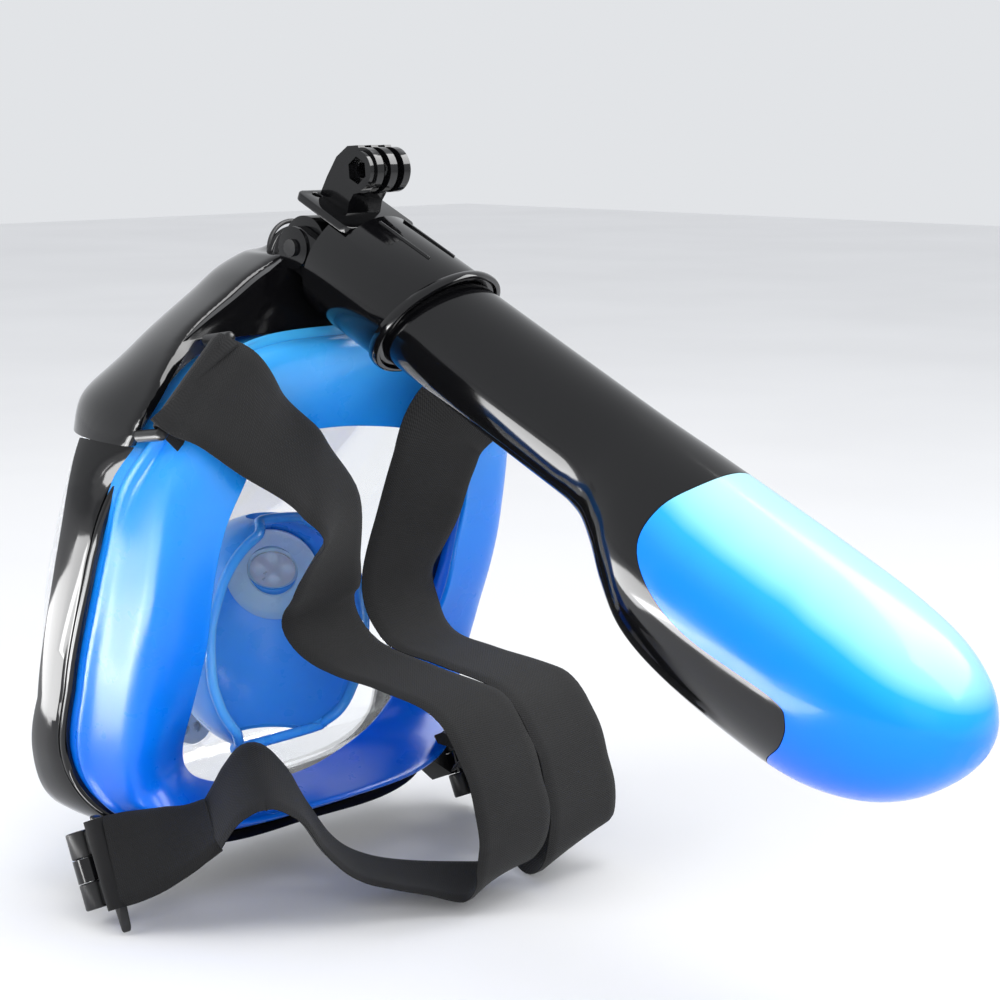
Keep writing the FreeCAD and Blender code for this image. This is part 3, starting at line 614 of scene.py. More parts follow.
strip = [at_seam(seam_left)] + strip + [at_seam(seam_right)]
frame_strip = skinned("frame_strips", [frame_section(p, n) for p, n in strip], black, caps=True)
for side in (1, -1):
    # An ear carries each clip's pin; its web rises into the corner of the frame.
    ear = tube_between("ear", on_clip(side, 0, 0, -4.0), on_clip(side, 0, 0, 4.0), 5.0, black, bore=2.3)
    rows = [[at(side * 72, y, z) for y, z in corners_of(-33, -19, 25, 34)],
            [on_clip(side, -side * 7.2, y, z) for y, z in corners_of(-9, 3, -3.9, 3.9)],
            [on_clip(side, -side * 2.6, y, z) for y, z in corners_of(-4, 3, -3.9, 3.9)]]
    join(frame_strip, ear, skinned("web", rows, black, caps=True))
stands_for(frame_strip, "frame_ring", "mask")

# ---- brow shell

# Rows of the hood from its lower edge upwards: height, half width, middle y, depth and rear y.
HOOD = [(156, 86.6, 13, 74, 12), (165.2, 86.2, 13.5, 73.5, 18), (176, 84.5, 14, 71, 24),
        (186, 79, 15, 64.5, 26), (195, 70, 15, 59, 26), (203, 57.5, 14, 53.5, 24), (211, 43, 12, 47, 20),
        (218, 31, 8, 38, 16), (223.5, 18, 5, 27, 12)]
BROW_WALL, ARC_STEPS = 2.8, 64
# The neck pipe lies a little under the hinge; its root sinks into the hood.
NECK_DROP, NECK_END = -4.2, -13.5
SOCKET_RADIUS, STEM_RADIUS = 13.4, 11.3
# Rings of the neck's root: y from the neck's end, drop, radius. Their planes lean with the neck.
NECK_ROOT = [(-4, 1, SOCKET_RADIUS), (-16, 6, SOCKET_RADIUS), (-28, 11.5, 14.6), (-39, 18, 16.5),
             (-47, 25, 16.5), (-52, 32, 14.5), (-55, 38, 10.5), (-56, 43, 4)]
ROOT_LEAN, ROOT_RISE = -0.26, 0.966
NECK_SIDES = 96


def hood_solid(name, shrink, rear_growth):
    """The brow's closed body; the inner one is smaller and runs out at the back."""
    rows = []
    for z, half_width, middle, depth, rear in smooth_run([Vector(r) for r in HOOD], 5):
        a = max(half_width - shrink, 2.0)
        d = max(depth - shrink, 2.0)
        z = z - shrink * (1.0 if z > 170 else 3.0)
        fullness = 0.8 + 0.2 * ease(z, 176, 195)
        arc = []
        for i in range(ARC_STEPS + 1):
            across, forward = math.cos(math.pi * i / ARC_STEPS), abs(math.sin(math.pi * i / ARC_STEPS))
            x = math.copysign(a * abs(across) ** fullness, across)
            arc.append(at(x, middle - d * forward ** fullness, z))
        arc += [at(a * t, rear + rear_growth, z) for t in (-1, -0.5, 0, 0.5, 1)]
        rows.append(arc)
    return skinned(name, rows, black, caps=True)


def behind(profile_points):
    """A block that fills everything behind a side profile."""
    line = smooth_run([Vector((0, y, z)) for y, z in profile_points], 4)
    corners = [(q.y, q.z) for q in line] + [(80, line[-1].z), (80, line[0].z)]
    return prism("rear", corners, -120, 120, at, black)


def column_inside(name, inset, y0, y1):
    """The outline pushed inwards and drawn out along y."""
    rows = [[at(q.x - n.x * inset, y, q.z - n.z * inset) for q, n in RING] for y in (y0, y1)]
    return skinned(name, rows, black, caps=True)


def neck_bar(name, s0, s1, radius):
    return tube_between(name, on_neck(0, s0, NECK_DROP), on_neck(0, s1, NECK_DROP), radius, black, NECK_SIDES)


def neck_root():
    """The tapering root of the neck, which runs forward and down into the hood."""
    end = on_neck(0, NECK_END, NECK_DROP)
    rows = []
    for y, drop, radius in smooth_run([Vector(r) for r in NECK_ROOT], 4):
        centre = end + Vector((0, y, -drop)) * MM
        rows.append([centre + Vector((radius * c * MM, ROOT_LEAN * radius * s * MM,
                                      ROOT_RISE * radius * s * MM)) for c, s in circle(NECK_SIDES)])
    return skinned("root", rows, black, caps=True)


def relax(obj, rounds):
    smooth = obj.modifiers.new("relax", "SMOOTH")
    smooth.factor = 0.5
    smooth.iterations = rounds
    return bake(obj)


def remesh(obj, voxel, rounds):
    """Melts the joined bodies into one soft skin."""
    melt = obj.modifiers.new("melt", "REMESH")
    melt.mode = "VOXEL"
    melt.voxel_size = voxel * MM
    return relax(obj, rounds)


brow = hood_solid("brow_hood", 0, 0)
carve(brow, neck_root(), "UNION")
carve(brow, neck_bar("socket", NECK_END - 6, NECK_END, SOCKET_RADIUS), "UNION")
carve(brow, behind(FRAME_REAR))
remesh(brow, 1.1, 22)
carve(brow, hood_solid("inner", BROW_WALL, 30))
# A rear wall closes the hood above the skirt.
wall = hood_solid("wall", 1.0, 0)
carve(wall, prism("wall_band", corners_of(10.0, 15.0, 197.5, 260), -70, 70, at, black), "INTERSECT")
carve(brow, wall, "UNION")
carve(brow, neck_bar("bore", -41, -10, STEM_RADIUS + 0.15))
carve(brow, column_inside("skirt_room", 3.9, -24, 60))
carve(brow, prism("below", corners_of(-120, 60, 100, SEAM_Z + 0.3), -120, 120, at, black))
tidy_normals(brow, 40)
stands_for(brow, "brow_shell", "mask")


# The collar's section, from the socket's end and outwards from the socket: two soft beads.
COLLAR_SHAPE = [(-6.2, 0.0), (-6.2, 1.0), (-5.8, 1.7), (-5.1, 2.0), (-4.3, 1.9), (-3.7, 1.4), (-3.4, 0.7),
                (-2.8, 0.6), (-2.4, 1.3), (-1.8, 1.8), (-0.9, 1.9), (-0.3, 1.5), (0.3, 0.6), (0.3, -1.4),
                (-6.2, -1.4)]
rows = []
for along, out in COLLAR_SHAPE:
    radius = SOCKET_RADIUS + out
    rows.append([on_neck(radius * c, NECK_END + along, NECK_DROP + radius * s)
                 for c, s in circle(NECK_SIDES)])
collar = skinned("neck_collar_rings", rows, black, along=True)
stands_for(collar, "neck_collar", "mask")

BARREL_BORE = 8.6
stem = neck_bar("hinge_stem_pipe", -37, -5.0, STEM_RADIUS - 0.3)
barrel = tube_between("barrel", on_tube(-12.9, 0, 0), on_tube(12.9, 0, 0), 10.6, black, 96)
carve(stem, barrel, "UNION")
carve(stem, neck_bar("stem_bore", -60, -4, BARREL_BORE))
carve(stem, tube_between("barrel_bore", on_tube(-9.5, 0, 0), on_tube(9.5, 0, 0), BARREL_BORE, black, 64))
carve(stem, prism("air_window", corners_of(0, 24, -7.5, 7.5), -9.0, 9.0, on_tube, black))
carve(stem, tube_between("pin_bore", on_tube(-20, 0, 0), on_tube(20, 0, 0), 3.05, black, 48))
soften(stem, 0.5)
stands_for(stem, "hinge_stem", "stem")

# ---- face skirt

OPENING_MIDDLE = 96
# The skirt's face opening from the top, left half, as (x, y, z).
OPENING = [(0, 9, 162), (20, 11, 161), (38, 19, 158), (50, 28, 151), (56, 25, 136), (57, 19, 115),
           (56, 14, 95), (54, 4, 75), (51, -8, 54), (44, -14, 42), (32, -16, 35), (16, -15, 31), (0, -14, 30)]


def skirt_section(p, normal, lip):
    """From the clamped edge back to the fold, round it and in to the opening's soft lip."""
    rear = profile(SKIRT_REAR, p.z)
    start = profile(FRAME_REAR, p.z)

    def inset(depth, y):
        return Vector((p.x - normal.x * depth, y, p.z - normal.z * depth))

    fold = inset(7.5, rear)
    wall = [inset(4.6, start - 14), inset(4.4, start - 4), inset(4.2, start + (rear - start) * 0.12),
            inset(3.0, start + (rear - start) * 0.22),
            inset(5.0 + 0.5 * rear_tuck(p.z), start + (rear - start) * 0.35),
            Vector((fold.x + normal.x * 0.9, rear - 4.0, fold.z + normal.z * 0.9)), fold]
    inward = lip - fold
    bulge = Vector((0, 1, 0)) * min(4.0, inward.length * 0.12)
    flange = [fold + inward * share + bulge * rise
              for share, rise in ((0.10, 0.75), (0.3, 1.0), (0.55, 0.7), (0.8, 0.25))]
    return wall + flange + [fold + inward * 0.94, lip]


opening = closed_run(with_mirror([Vector(p) for p in OPENING]), 8)


def opening_towards(p):
    """The opening's edge in the direction of an outline point, seen from the middle of the face."""
    want = math.atan2(p.x / HALF_WIDTH, (p.z - 100) / 94)
    for i, a in enumerate(opening):
        b = opening[(i + 1) % len(opening)]
        turn_a, turn_b = (math.atan2(q.x / 57, (q.z - OPENING_MIDDLE) / 66) for q in (a, b))
        step = (turn_b - turn_a + math.pi) % (2 * math.pi) - math.pi
        off = (want - turn_a + math.pi) % (2 * math.pi) - math.pi
        if abs(step) > 1e-6 and 0 <= off / step < 1:
            return a + (b - a) * (off / step)
    return min(opening, key=lambda q: abs(math.atan2(q.x, q.z - OPENING_MIDDLE) - want))


rows = []
for p, normal in RING:
    lip = opening_towards(p)
    line = skirt_section(p, normal, lip)
    rows.append([at(q.x, q.y, q.z) for q in smooth_run(line, 3)])
skirt = skinned("skirt_silicone", rows, skirt_blue, around=False, along=True)
thicken(skirt, 2.0, 0)
relax(skirt, 4)
tidy_normals(skirt, 60)
stands_for(skirt, "face_skirt", "mask")

# ---- nose cup

CUP_MIDDLE, CUP_RADII = Vector((0, -20, 84)), (38, 40, 44)
# Each inhale valve sits on the cup's wall, facing outwards, forwards and up.
VALVE_X, VALVE_Y, VALVE_Z = 22, -44, 101
VALVE_HOLE = 10.15


def valve_axis(side):
    return Vector((side * 0.62, -0.62, 0.48)).normalized()


def cup_point(turn, rise):
    """A point of the cup's egg; turn goes round from the left, rise from the chin to the bridge."""
    a, b, c = CUP_RADII
    return Vector((a * math.cos(rise) * math.sin(turn), CUP_MIDDLE.y - b * math.cos(rise) * math.cos(turn),
                   CUP_MIDDLE.z + c * math.sin(rise)))


def rim_turn(rise):
    """How far round the cup's wall goes at this height, up to its rim against the face."""
    turn = 0.0
    while turn < math.radians(128):
        q = cup_point(turn, rise)
        if q.y > min(-34 + (q.z - 45) * 0.15 + 0.95 * abs(q.x), -9.5):
            break
        turn += math.radians(1.0)
    return max(turn, math.radians(40))


CUP_ROWS, CUP_HALF_COLUMNS = 40, 28
rows = []
rim_points = []
for j in range(CUP_ROWS + 1):
    rise = math.radians(-66 + 144 * j / CUP_ROWS)
    limit = rim_turn(rise)
    row = [cup_point(limit * (i / CUP_HALF_COLUMNS), rise)
           for i in range(-CUP_HALF_COLUMNS, CUP_HALF_COLUMNS + 1)]
    rows.append([at(q.x, q.y, q.z) for q in row])
    rim_points.append((row[-1], row[0]))
cup = skinned("nose_cup_silicone", rows, cup_blue, around=False)
thicken(cup, 1.8, -1)


def bead(name, points, radius, material):
    """A round bead along a closed line of points, in millimetres."""
    rows = []
    for i, p in enumerate(points):
        run = (points[(i + 1) % len(points)] - points[i - 1]).normalized()
        side = run.cross(Vector((0, 1, 0.2))).normalized()
        up = side.cross(run)
        rows.append([at(*(p + (side * c + up * s) * radius)) for c, s in circle(16)])
    return skinned(name, rows, material, along=True)


for side in (1, -1):
    direction, centre = valve_axis(side), at(side * VALVE_X, VALVE_Y, VALVE_Z)
    carve(cup, tube_between("hole", centre - direction * 16 * MM, centre + direction * 20 * MM, VALVE_HOLE,
                            cup_blue, 64))
tidy_normals(cup, 50)


def valve_panel(side):
    """A frosted oval panel on the inside of the cup round one inhale valve."""
    axis = valve_axis(side)
    up = (Vector((0, 0, 1)) - axis * axis.z).normalized()
    over = up.cross(axis)
    middle = Vector((side * VALVE_X, VALVE_Y, VALVE_Z))
    a, b, c = CUP_RADII
    rings = []
    for radius, lift in ((10.6, 0.0), (10.8, -1.2), (13.0, -1.5), (16.5, -1.2), (19.0, -0.4), (19.4, 0.6)):
        ring = []
        for across, rise in circle(72):
            offset = middle + over * radius * across + up * radius * 1.2 * rise - CUP_MIDDLE
            scale = math.sqrt((offset.x / a) ** 2 + (offset.y / b) ** 2 + (offset.z / c) ** 2)
            q = CUP_MIDDLE + offset * ((0.93 + lift * 0.008) / scale)
            ring.append(at(q.x, q.y, q.z))
        rings.append(ring)
    return thicken(skinned("valve_panel", rings, frosted), 1.0, -1)


rim_line = [a for a, b in rim_points] + [b for a, b in reversed(rim_points)]
even = [rim_line[i] for i in range(0, len(rim_line), 2)]
rim = bead("rim", closed_run(even, 3), 1.9, cup_blue)
join(cup, rim, valve_panel(1), valve_panel(-1))
stands_for(cup, "nose_cup", "mask")

# ---- snorkel head, tube and cap

HEAD_RADIUS, HEAD_BORE, TUBE_RADIUS, TUBE_START, HEAD_END, LIP_SLOPE = 21.4, 19.4, 19.2, 26.0, 55.8, 0.40
HEAD_START, PLATE_BASE, PLATE_TOP, PLATE_END = 11.0, 14.4, 17.2, 19.6
TUBE_SIDES = 128


def ring_on_tube(u, radius, slope):
    return [on_tube(radius * c, u + slope * (radius * s), radius * s) for c, s in circle(TUBE_SIDES)]


def sleeve_on_tube(name, stations):
    """A turned sleeve from its section [(u, radius, slope), ...]."""
    return skinned(name, [ring_on_tube(u, r, slope) for u, r, slope in stations], black, along=True)


def block_on_tube(name, x0, x1, u0, u1, v0, v1):
    return prism(name, corners_of(u0, u1, v0, v1), x0, x1, on_tube, black)


head = sleeve_on_tube("snorkel_head_sleeve", [
    (HEAD_START, 21.3, 0.0), (HEAD_END - 0.6, HEAD_RADIUS, LIP_SLOPE),
    (HEAD_END, HEAD_RADIUS - 0.6, LIP_SLOPE), (HEAD_END, HEAD_BORE, LIP_SLOPE), (16.0, HEAD_BORE, 0.0),
    (15.0, 14.0, 0.0), (HEAD_START, 14.0, 0.0)])
carve(head, block_on_tube("plate_pocket", -16.5, 16.5, 0, PLATE_END + 0.5, PLATE_BASE - 0.3, 40))
soften(head, 0.7)
for side in (1, -1):
    lug = tube_between("lug", on_tube(side * 13.5, 0, 0), on_tube(side * 18.2, 0, 0), 7.2, black, 64)
    arm = block_on_tube("arm", side * 13.5, side * 17.2, 0, HEAD_START + 0.6, -7.2, 7.2)
    carve(lug, arm, "UNION")
    soften(lug, 0.9)
    join(head, lug)
for side in (1, -1):
    rib = block_on_tube("rib", side * 5.2, side * 6.0, 23, 49, 19.5, 21.25)
    soften(rib, 0.15, 2)
    join(head, rib)
stands_for(head, "snorkel_head", "snorkel")

LIP_SHAPE = [(-3.2, 21.45), (-3.3, 22.2), (-2.8, 22.9), (-1.6, 23.2), (-0.2, 23.2), (0.7, 22.9), (1.0, 22.2),
             (0.9, 21.45)]
lip = sleeve_on_tube("head_lip_ring", [(HEAD_END + u, r, LIP_SLOPE) for u, r in LIP_SHAPE])
stands_for(lip, "head_lip", "snorkel")

# The camera bracket: a foot plate over the hinge, a tall stalk and three rounded prongs.
KNUCKLE_U, KNUCKLE_V, KNUCKLE_RADIUS, HALF_BRACKET = 10.4, 33.5, 7.5, 7.5
KNUCKLE_BORE, PRONG_MIDDLE, HALF_GAP, GAP_RADIUS, NUT_RADIUS = 2.6, 3.05, 1.5, 9.4, 4.6
PLATE_CORNER = 3.0


def rounded_plate():
    corners = []
    for cx, cu, first in ((13.0, 16.5, 0), (-13.0, 16.5, 90), (-13.0, -5.4, 180), (13.0, -5.4, 270)):
        for k in range(7):
            turn = math.radians(first + 15 * k)
            corners.append((cx + PLATE_CORNER * math.cos(turn), cu + PLATE_CORNER * math.sin(turn)))
    rows = [[on_tube(x, u, v) for x, u in corners] for v in (PLATE_BASE, PLATE_TOP)]
    return skinned("camera_bracket_body", rows, black, caps=True)


bracket = rounded_plate()
carve(bracket, tube_between("screw_hole", on_tube(9.4, -4.6, 10), on_tube(9.4, -4.6, 22), 1.7, black))
soften(bracket, 0.5)
stalk_side = [(-5.4, 16.8), (-4.6, 24.0), (-3.0, 32.0), (0.5, 37.6), (5.0, 40.0), (KNUCKLE_U, 36.0),
              (15.5, 28.5), (9.6, 24.4), (8.8, 21.0), (9.6, 16.8)]
stalk = prism("stalk", stalk_side, -HALF_BRACKET, HALF_BRACKET, on_tube, black)
hollow = prism("hollow", [(-30, 15), (-7.2, 15), (-5.8, 25), (-3.0, 40), (-30, 40)], -30, 30, on_tube, black)
carve(stalk, hollow)


def knuckle_disc(name, x0, x1, radius, sides=96):
    start, end = (on_tube(x, KNUCKLE_U, KNUCKLE_V) for x in (x0, x1))
    return tube_between(name, start, end, radius, black, sides)


carve(stalk, knuckle_disc("knuckle", -HALF_BRACKET, HALF_BRACKET, KNUCKLE_RADIUS), "UNION")
carve(stalk, knuckle_disc("boss", HALF_BRACKET - 0.5, HALF_BRACKET + 2.4, 6.6), "UNION")
carve(stalk, knuckle_disc("bore", -12, 16, KNUCKLE_BORE, 40))
for middle in (-PRONG_MIDDLE, PRONG_MIDDLE):
    carve(stalk, knuckle_disc("gap", middle - HALF_GAP, middle + HALF_GAP, GAP_RADIUS))
hexagon = [math.pi / 3 * i for i in range(6)]
nut = [(KNUCKLE_U + NUT_RADIUS * math.cos(turn), KNUCKLE_V + NUT_RADIUS * math.sin(turn)) for turn in hexagon]
carve(stalk, prism("nut", nut, HALF_BRACKET, 14, on_tube, black))
soften(stalk, 0.45)
join(bracket, stalk)
stands_for(bracket, "camera_bracket", "bracket")

# Stations of the flared tube: place along it, half width, upper and lower reach.
FLARE = [(132, 19.2, 19.2, 19.2), (140, 19.3, 19.2, 19.6), (148, 20.2, 19.2, 22.0), (157, 22.6, 19.2, 28.0),
         (167, 25.6, 19.3, 36.5), (179, 28.0, 19.4, 43.5), (198, 29.3, 19.6, 46.8), (225, 29.6, 19.8, 47.2),
         (248, 28.8, 19.4, 45.4), (266, 25.8, 17.2, 39.0), (279, 20.5, 12.0, 29.5), (287, 13.0, 4.6, 18.5),
         (290.4, 5.0, -3.2, 10.0)]
# The edge between tube and cap, as (place along the tube, depth below its axis).
CAP_EDGE = [(188, -34), (183, -19), (178, -8), (179, 4), (190, 12.5), (208, 16.5), (240, 15), (247, 19),
            (247, 28), (241, 40), (238, 56)]


def flare_solid(name, shrink, start):
    fine = smooth_run([Vector(station) for station in FLARE], 6)
    stations = [Vector((u, *[TUBE_RADIUS] * 3)) for u in (start, 40, 60, 80, 100, 115, 125)]
    rows = []
    for u, half_width, upper, lower in stations + fine:
        a = max(half_width - shrink, 0.6)
        b = max((upper + lower) / 2 - shrink, 0.6)
        middle = (upper - lower) / 2
        u = u - (shrink if u > 280 else 0)
        rows.append([on_tube(a * c, u, middle + b * s) for c, s in circle(TUBE_SIDES)])
    return skinned(name, rows, black, caps=True)


def cap_cutter(shift):
    """Everything beyond the cap's edge."""
    points = smooth_run([Vector((u + shift, -depth, 0)) for u, depth in CAP_EDGE], 6)
    corners = [(p.x, p.y) for p in points] + [(340, -56), (340, 34)]
    return prism("cap_cutter", corners, -45, 45, on_tube, cap_blue)


outer = flare_solid("outer", 0.0, TUBE_START)
inner = flare_solid("inner", 2.2, TUBE_START - 3)
carve(outer, inner)
cap = outer.copy()
cap.data = outer.data.copy()
cap.name = "drytop_cap_shell"
scene.collection.objects.link(cap)
tube = outer
tube.name = "snorkel_tube_shell"
carve(tube, cap_cutter(0.0))
carve(tube, prism("window", corners_of(204, 228, -30, -60), -12, 12, on_tube, black))
carve(cap, cap_cutter(0.3), "INTERSECT")
for obj, look in ((tube, black), (cap, cap_blue)):
    obj.data.materials.clear()
    obj.data.materials.append(look)
    obj.data.polygons.foreach_set("material_index", [0] * len(obj.data.polygons))
stands_for(tube, "snorkel_tube", "snorkel")
stands_for(cap, "drytop_cap", "snorkel")

# ---- harness

STRAP_WIDTH, STRAP_THICKNESS = 37.0, 2.0
# Across a band, from -1 to 1: where its edge starts to round off, and where the selvedge rises and how much.
ROUND_FROM, SELVEDGE_AT, SELVEDGE_SPREAD, SELVEDGE_RISE = 0.965, 0.93, 0.025, 0.12


def band(name, stations, width, thickness, material, steps=8, across_steps=14):
    """A woven band with thin selvedges along a run of (centre, across) stations."""
    centres = smooth_run([Vector(c) for c, a in stations], steps)
    leans = smooth_run([Vector(a).normalized() for c, a in stations], steps)
    half, thin = width / 2, thickness / 2
    lengths = [0.0]
    for a, b in zip(centres, centres[1:]):
        lengths.append(lengths[-1] + (b - a).length)
    section = []
    for i in range(across_steps + 1):
        a = -1 + 2 * i / across_steps
        edge_round = math.sqrt(max(1 - max((abs(a) - ROUND_FROM) / 0.035, 0) ** 2, 0.02))
        selvedge = SELVEDGE_RISE * math.exp(-((abs(a) - SELVEDGE_AT) / SELVEDGE_SPREAD) ** 2)
        section.append((a, edge_round * (1 + selvedge)))
    loop = section + [(a, -b) for a, b in reversed(section)]
    rows = []
    for i, c in enumerate(centres):
        run = (centres[min(i + 1, len(centres) - 1)] - centres[max(i - 1, 0)]).normalized()
        side = leans[i]
        side = (side - run * side.dot(run)).normalized()
        up = side.cross(run)
        rows.append([at(*(c + side * half * a + up * thin * b)) for a, b in loop])
    obj = skinned(name, rows, material, caps=True)
    layer = obj.data.uv_layers.new(name="Band")
    count = len(loop)
    for polygon in obj.data.polygons:
        for corner in polygon.loop_indices:
            index = obj.data.loops[corner].vertex_index
            row, k = divmod(index, count)
            layer.data[corner].uv = (loop[k][0] * half * MM, lengths[row] * MM)
    return obj, lengths[-1]


LUG_LOW, LUG_HIGH, WRAP_RADIUS = Vector((86, 31, 171)), Vector((60, 34, 200)), 3.5


def over_lug(side, stations):
    """Stations that take the band's tail round the lug bar before the given ones."""
    low, high = (Vector((side * end.x, end.y, end.z)) for end in (LUG_LOW, LUG_HIGH))
    bar = (high - low).normalized()
    middle = (low + high) / 2
    away = Vector(stations[1][0]) - Vector(stations[0][0])
    away = (away - bar * away.dot(bar)).normalized()
    over = bar.cross(away)
    if over.y < 0:
        over = -over
    wrap = []
    for reach in (15.0, 8.0):
        wrap.append((middle - over * (WRAP_RADIUS - 0.3) + away * reach, bar))
    for turn in [math.radians(angle) for angle in (180, 140, 100, 60, 20)]:
        wrap.append((middle + over * WRAP_RADIUS * math.cos(turn) - away * WRAP_RADIUS * math.sin(turn), bar))
    return wrap + stations


# Each band as stations (middle of its width, direction across it), from the upper lug down to the clip.
LEFT_BAND = [((66, 41, 181), (-28, -1, 26)), ((48, 39, 167), (-34, -12, 9)), ((28, 37, 152), (-34, -14, 2)),
             ((14, 34, 135), (-32, -18, 0)), ((10, 23, 112), (-35, -10, -4)), ((7, 17, 97), (-37, -3, -5)),
             ((0, 25, 83), (-36, -8, 1)), ((-5, 48, 78), (-36, -8, 0)), ((-10, 71, 72), (-36, -4, 0)),
             ((-16, 80, 55), (-37, -3, 0)), ((-19, 83, 39), (-37, -3, 0)), ((-22, 82.5, 25), (-37, -2, 0)),
             ((-21.5, 77.5, 12), (-36, -5, 2)), ((-16, 67, 6.5), (-31, -20, 2)), ((-4, 56, 8), (-22, -31, 0)),
             ((10, 48, 12), (-18, -33, 0)), ((22, 43.5, 19), (-17, -32, 3)), ((32, 40.5, 31), (-17, -31, 8)),
             ((40, 37, 44.5), (-16, -31, 12)), ((49, 32, 51.5), (-17, -30, 14)),
             ((56.5, 26.8, 46), (-20, -28, 12)), ((62.5, 22.2, 35), (-21, -28, 12))]
RIGHT_BAND = [((-66, 41, 181), (28, -1, 26)), ((-40, 35, 164), (34, -6, 10)), ((-33, 32, 148), (35, -5, 6)),
              ((-31, 26, 129), (36, -3, 8)), ((-32, 15, 106), (36, 3, 6)), ((-36, 15, 91), (36, 2, 6)),
              ((-38.5, 22, 81.5), (37, 3, 2)), ((-41.7, 41, 78), (37, 7, 1)), ((-47.4, 67, 72), (37, 4, 0)),
              ((-53.8, 77, 55), (37, 3, 0)), ((-56.8, 80, 39.5), (37, 3, 0)),
              ((-59.4, 80.5, 27), (36.5, 2, -3)),
              ((-60.5, 77.5, 14.5), (35, -2, -11)), ((-62, 69, 10), (31, -12, -18)),
              ((-65, 58, 16), (24, -20, -22)), ((-67, 47, 28), (20, -24, -20)),
              ((-66, 36, 38), (20, -26, -16)),
              ((-62.5, 22.2, 35), (21, -28, -12))]
# Each band wraps round its upper lug and runs down its stations, in place of the CAD band.
for side, name, stations in ((1, "left", LEFT_BAND), (-1, "right", RIGHT_BAND)):
    run = over_lug(side, stations)
    strap, length = band("harness_band_" + name, run, STRAP_WIDTH, STRAP_THICKNESS, elastic)
    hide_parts("strap_band_" + name)
    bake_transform(strap)


# ---- lower clips and sleeves

BAR_Y, BARREL_RADIUS, PIN_HOLE, BARREL_END, BARREL_GAP = 11.8, 4.9, 2.2, 13.4, 4.2
SLEEVE_WIDTH, SLEEVE_THICKNESS, SLEEVE_BORE = 31.0, 4.4, 2.7
# The left sleeve's stations, from the clip's bar to the band.
SLEEVE = [((88.0, 1.6, 23.9), (0, -14, 31)), ((85.5, 4.6, 25.0), (-3, -16, 30)),
          ((80, 9.4, 27.0), (-9, -20, 26)), ((74, 13.8, 29.4), (-14, -23, 21)),
          ((68, 18.0, 31.8), (-18, -26, 16)), ((62.0, 22.4, 35.4), (-21, -28, 12))]
CLIP_BAR = [(10.3, 17.0), (13.2, 16.0), (13.4, -15.0), (12.6, -22.0), (11.6, -24.0), (10.6, -23.0),
            (10.2, -14.0)]


def build_clip(side, name):
    """Two barrels on the pin, two arms and the bar with its pull tail."""
    def spot(x, y, z):
        return on_clip(side, x, y, z)

    def barrel(label, z0, z1):
        start, end = spot(0, 0, z0), spot(0, 0, z1)
        return soften(tube_between(label, start, end, BARREL_RADIUS, black_satin, 48, bore=PIN_HOLE), 0.6)

    clip = barrel("clip_barrel_" + name, BARREL_GAP, BARREL_END)
    low = barrel("low", -BARREL_END, -BARREL_GAP)
    join(clip, low, soften(prism("bar", CLIP_BAR, -1.7, 1.7, spot, black_satin), 0.7))
    for z0, z1 in ((4.6, 12.6), (-12.6, -4.6)):
        arm = prism("arm", corners_of(3.0, 11.0, z0, z1), -1.5, 1.5, spot, black_satin)
        join(clip, soften(arm, 0.5))
    stands_for(clip, "clip_" + name, "clip_" + name)


def build_sleeve(side, name):
    """The webbing sleeve: a folded double layer that twists on its way to the band."""
    stations = [((side * x, y, z), (side * ax, ay, az)) for (x, y, z), (ax, ay, az) in SLEEVE]
    sleeve, _ = band("strap_sleeve_web_" + name, stations, SLEEVE_WIDTH, SLEEVE_THICKNESS, webbing)
    start, end = (on_clip(side, 0, BAR_Y, z) for z in (-15.4, 15.4))
    join(sleeve, tube_between("wrap", start, end, SLEEVE_THICKNESS, webbing, 40, bore=SLEEVE_BORE))
    stands_for(sleeve, "strap_sleeve_" + name, "clip_" + name)


for side, name in ((1, "left"), (-1, "right")):
    build_clip(side, name)
    build_sleeve(side, name)

# ---- camera, light and floor

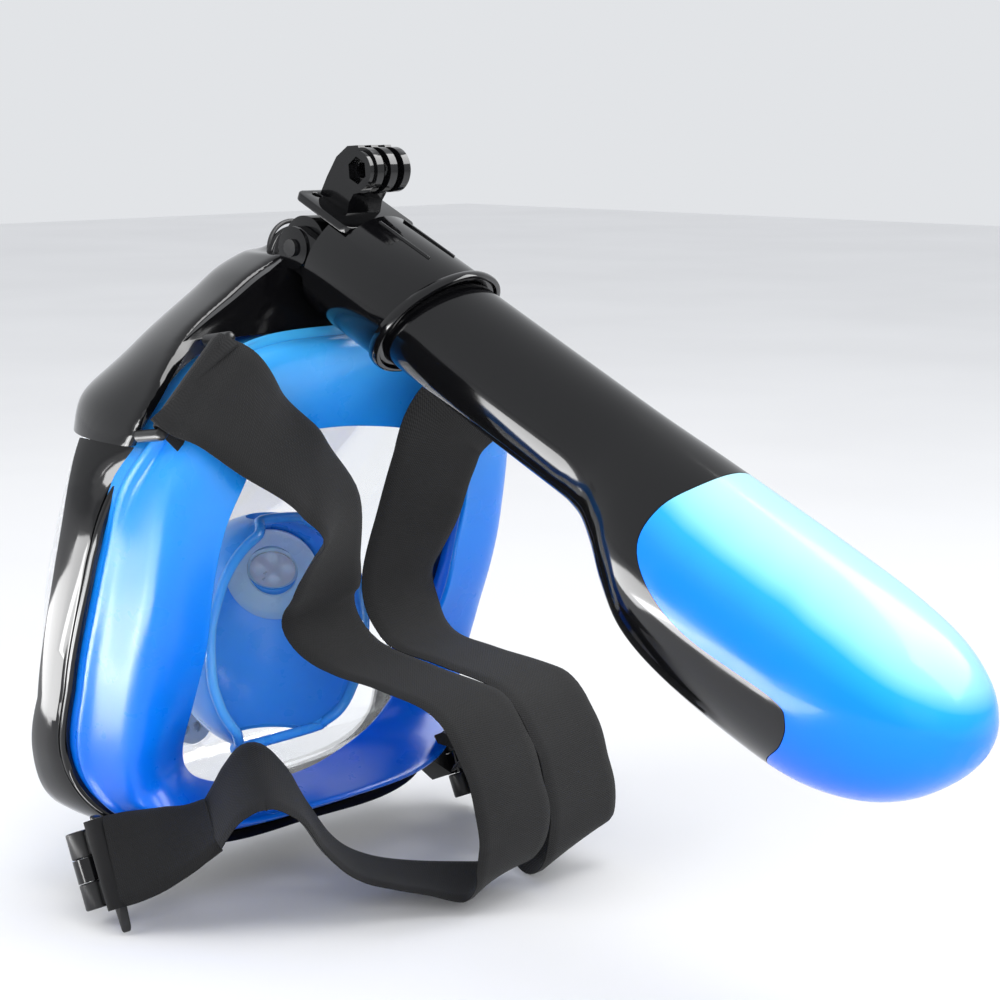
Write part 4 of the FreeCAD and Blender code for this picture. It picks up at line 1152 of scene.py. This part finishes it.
CAMERA_PLACE, CAMERA_LENS, SENSOR_WIDTH = (514.3, 593.2, 273.3), 80.64, 36.0
CAMERA_TILT, CAMERA_TURN = math.radians(80.0), math.radians(134.0)
camera_data = bpy.data.cameras.new("camera")
camera_data.lens = CAMERA_LENS
camera_data.sensor_width = SENSOR_WIDTH
camera = bpy.data.objects.new("camera", camera_data)
scene.collection.objects.link(camera)
camera.location = at(*CAMERA_PLACE)
camera.rotation_euler = (CAMERA_TILT, 0, CAMERA_TURN)
camera_data.clip_start = 0.01
scene.camera = camera

floor_material = new_material("pale_floor", (0.86, 0.86, 0.87), 0.6)
floor_grain = noise_node(floor_material, 3.0, 3.0)
colours(floor_material, floor_grain.outputs["Fac"], [(0.3, (0.84, 0.84, 0.85)), (0.7, (0.88, 0.88, 0.89))])
floor_corners = [Vector((x, y, -0.0004)) for x, y in corners_of(-4, 4, -4, 4)]
floor = piece("floor", floor_corners, [(0, 1, 2, 3)], floor_material)

world = bpy.data.worlds.new("world")
world.use_nodes = True
world.node_tree.nodes["Background"].inputs["Color"].default_value = (0.95, 0.97, 1.0, 1.0)
world.node_tree.nodes["Background"].inputs["Strength"].default_value = 0.8
scene.world = world


def softbox(name, place, target, width, height, power):
    data = bpy.data.lights.new(name, "AREA")
    data.shape = "RECTANGLE"
    data.size = width
    data.size_y = height
    data.energy = power
    light = bpy.data.objects.new(name, data)
    scene.collection.objects.link(light)
    light.location = Vector(place)
    light.rotation_euler = (Vector(target) - Vector(place)).to_track_quat("-Z", "Y").to_euler()
    return light


def card(name, place, target, width, height, power):
    """A bright card that is only seen as a reflection."""
    light = softbox(name, place, target, width, height, power)
    light.visible_diffuse = False
    light.visible_camera = False
    light.visible_transmission = False
    light.visible_volume_scatter = False
    return light


softbox("key", (1.2, -0.5, 1.0), (0, 0, 0.12), 0.9, 0.9, 9).visible_glossy = False
softbox("top", (-0.2, 0.3, 1.6), (0, 0, 0.1), 1.2, 0.8, 9).visible_glossy = False
softbox("fill", (0.75, 1.0, 0.55), (0, 0, 0.1), 0.8, 0.8, 9).visible_glossy = False
card("sheen", (-0.67, 0.85, 1.35), (0, 0.1, 0.12), 1.9, 1.5, 75)
card("low_card", (0.38, -0.12, 0.004), (0.38, -0.12, 1.0), 0.3, 0.28, 4.0)
card("side_card", (0.43, -0.44, 0.004), (0.43, -0.44, 1.0), 0.5, 0.5, 8.0)
scene.view_settings.view_transform = "Standard"
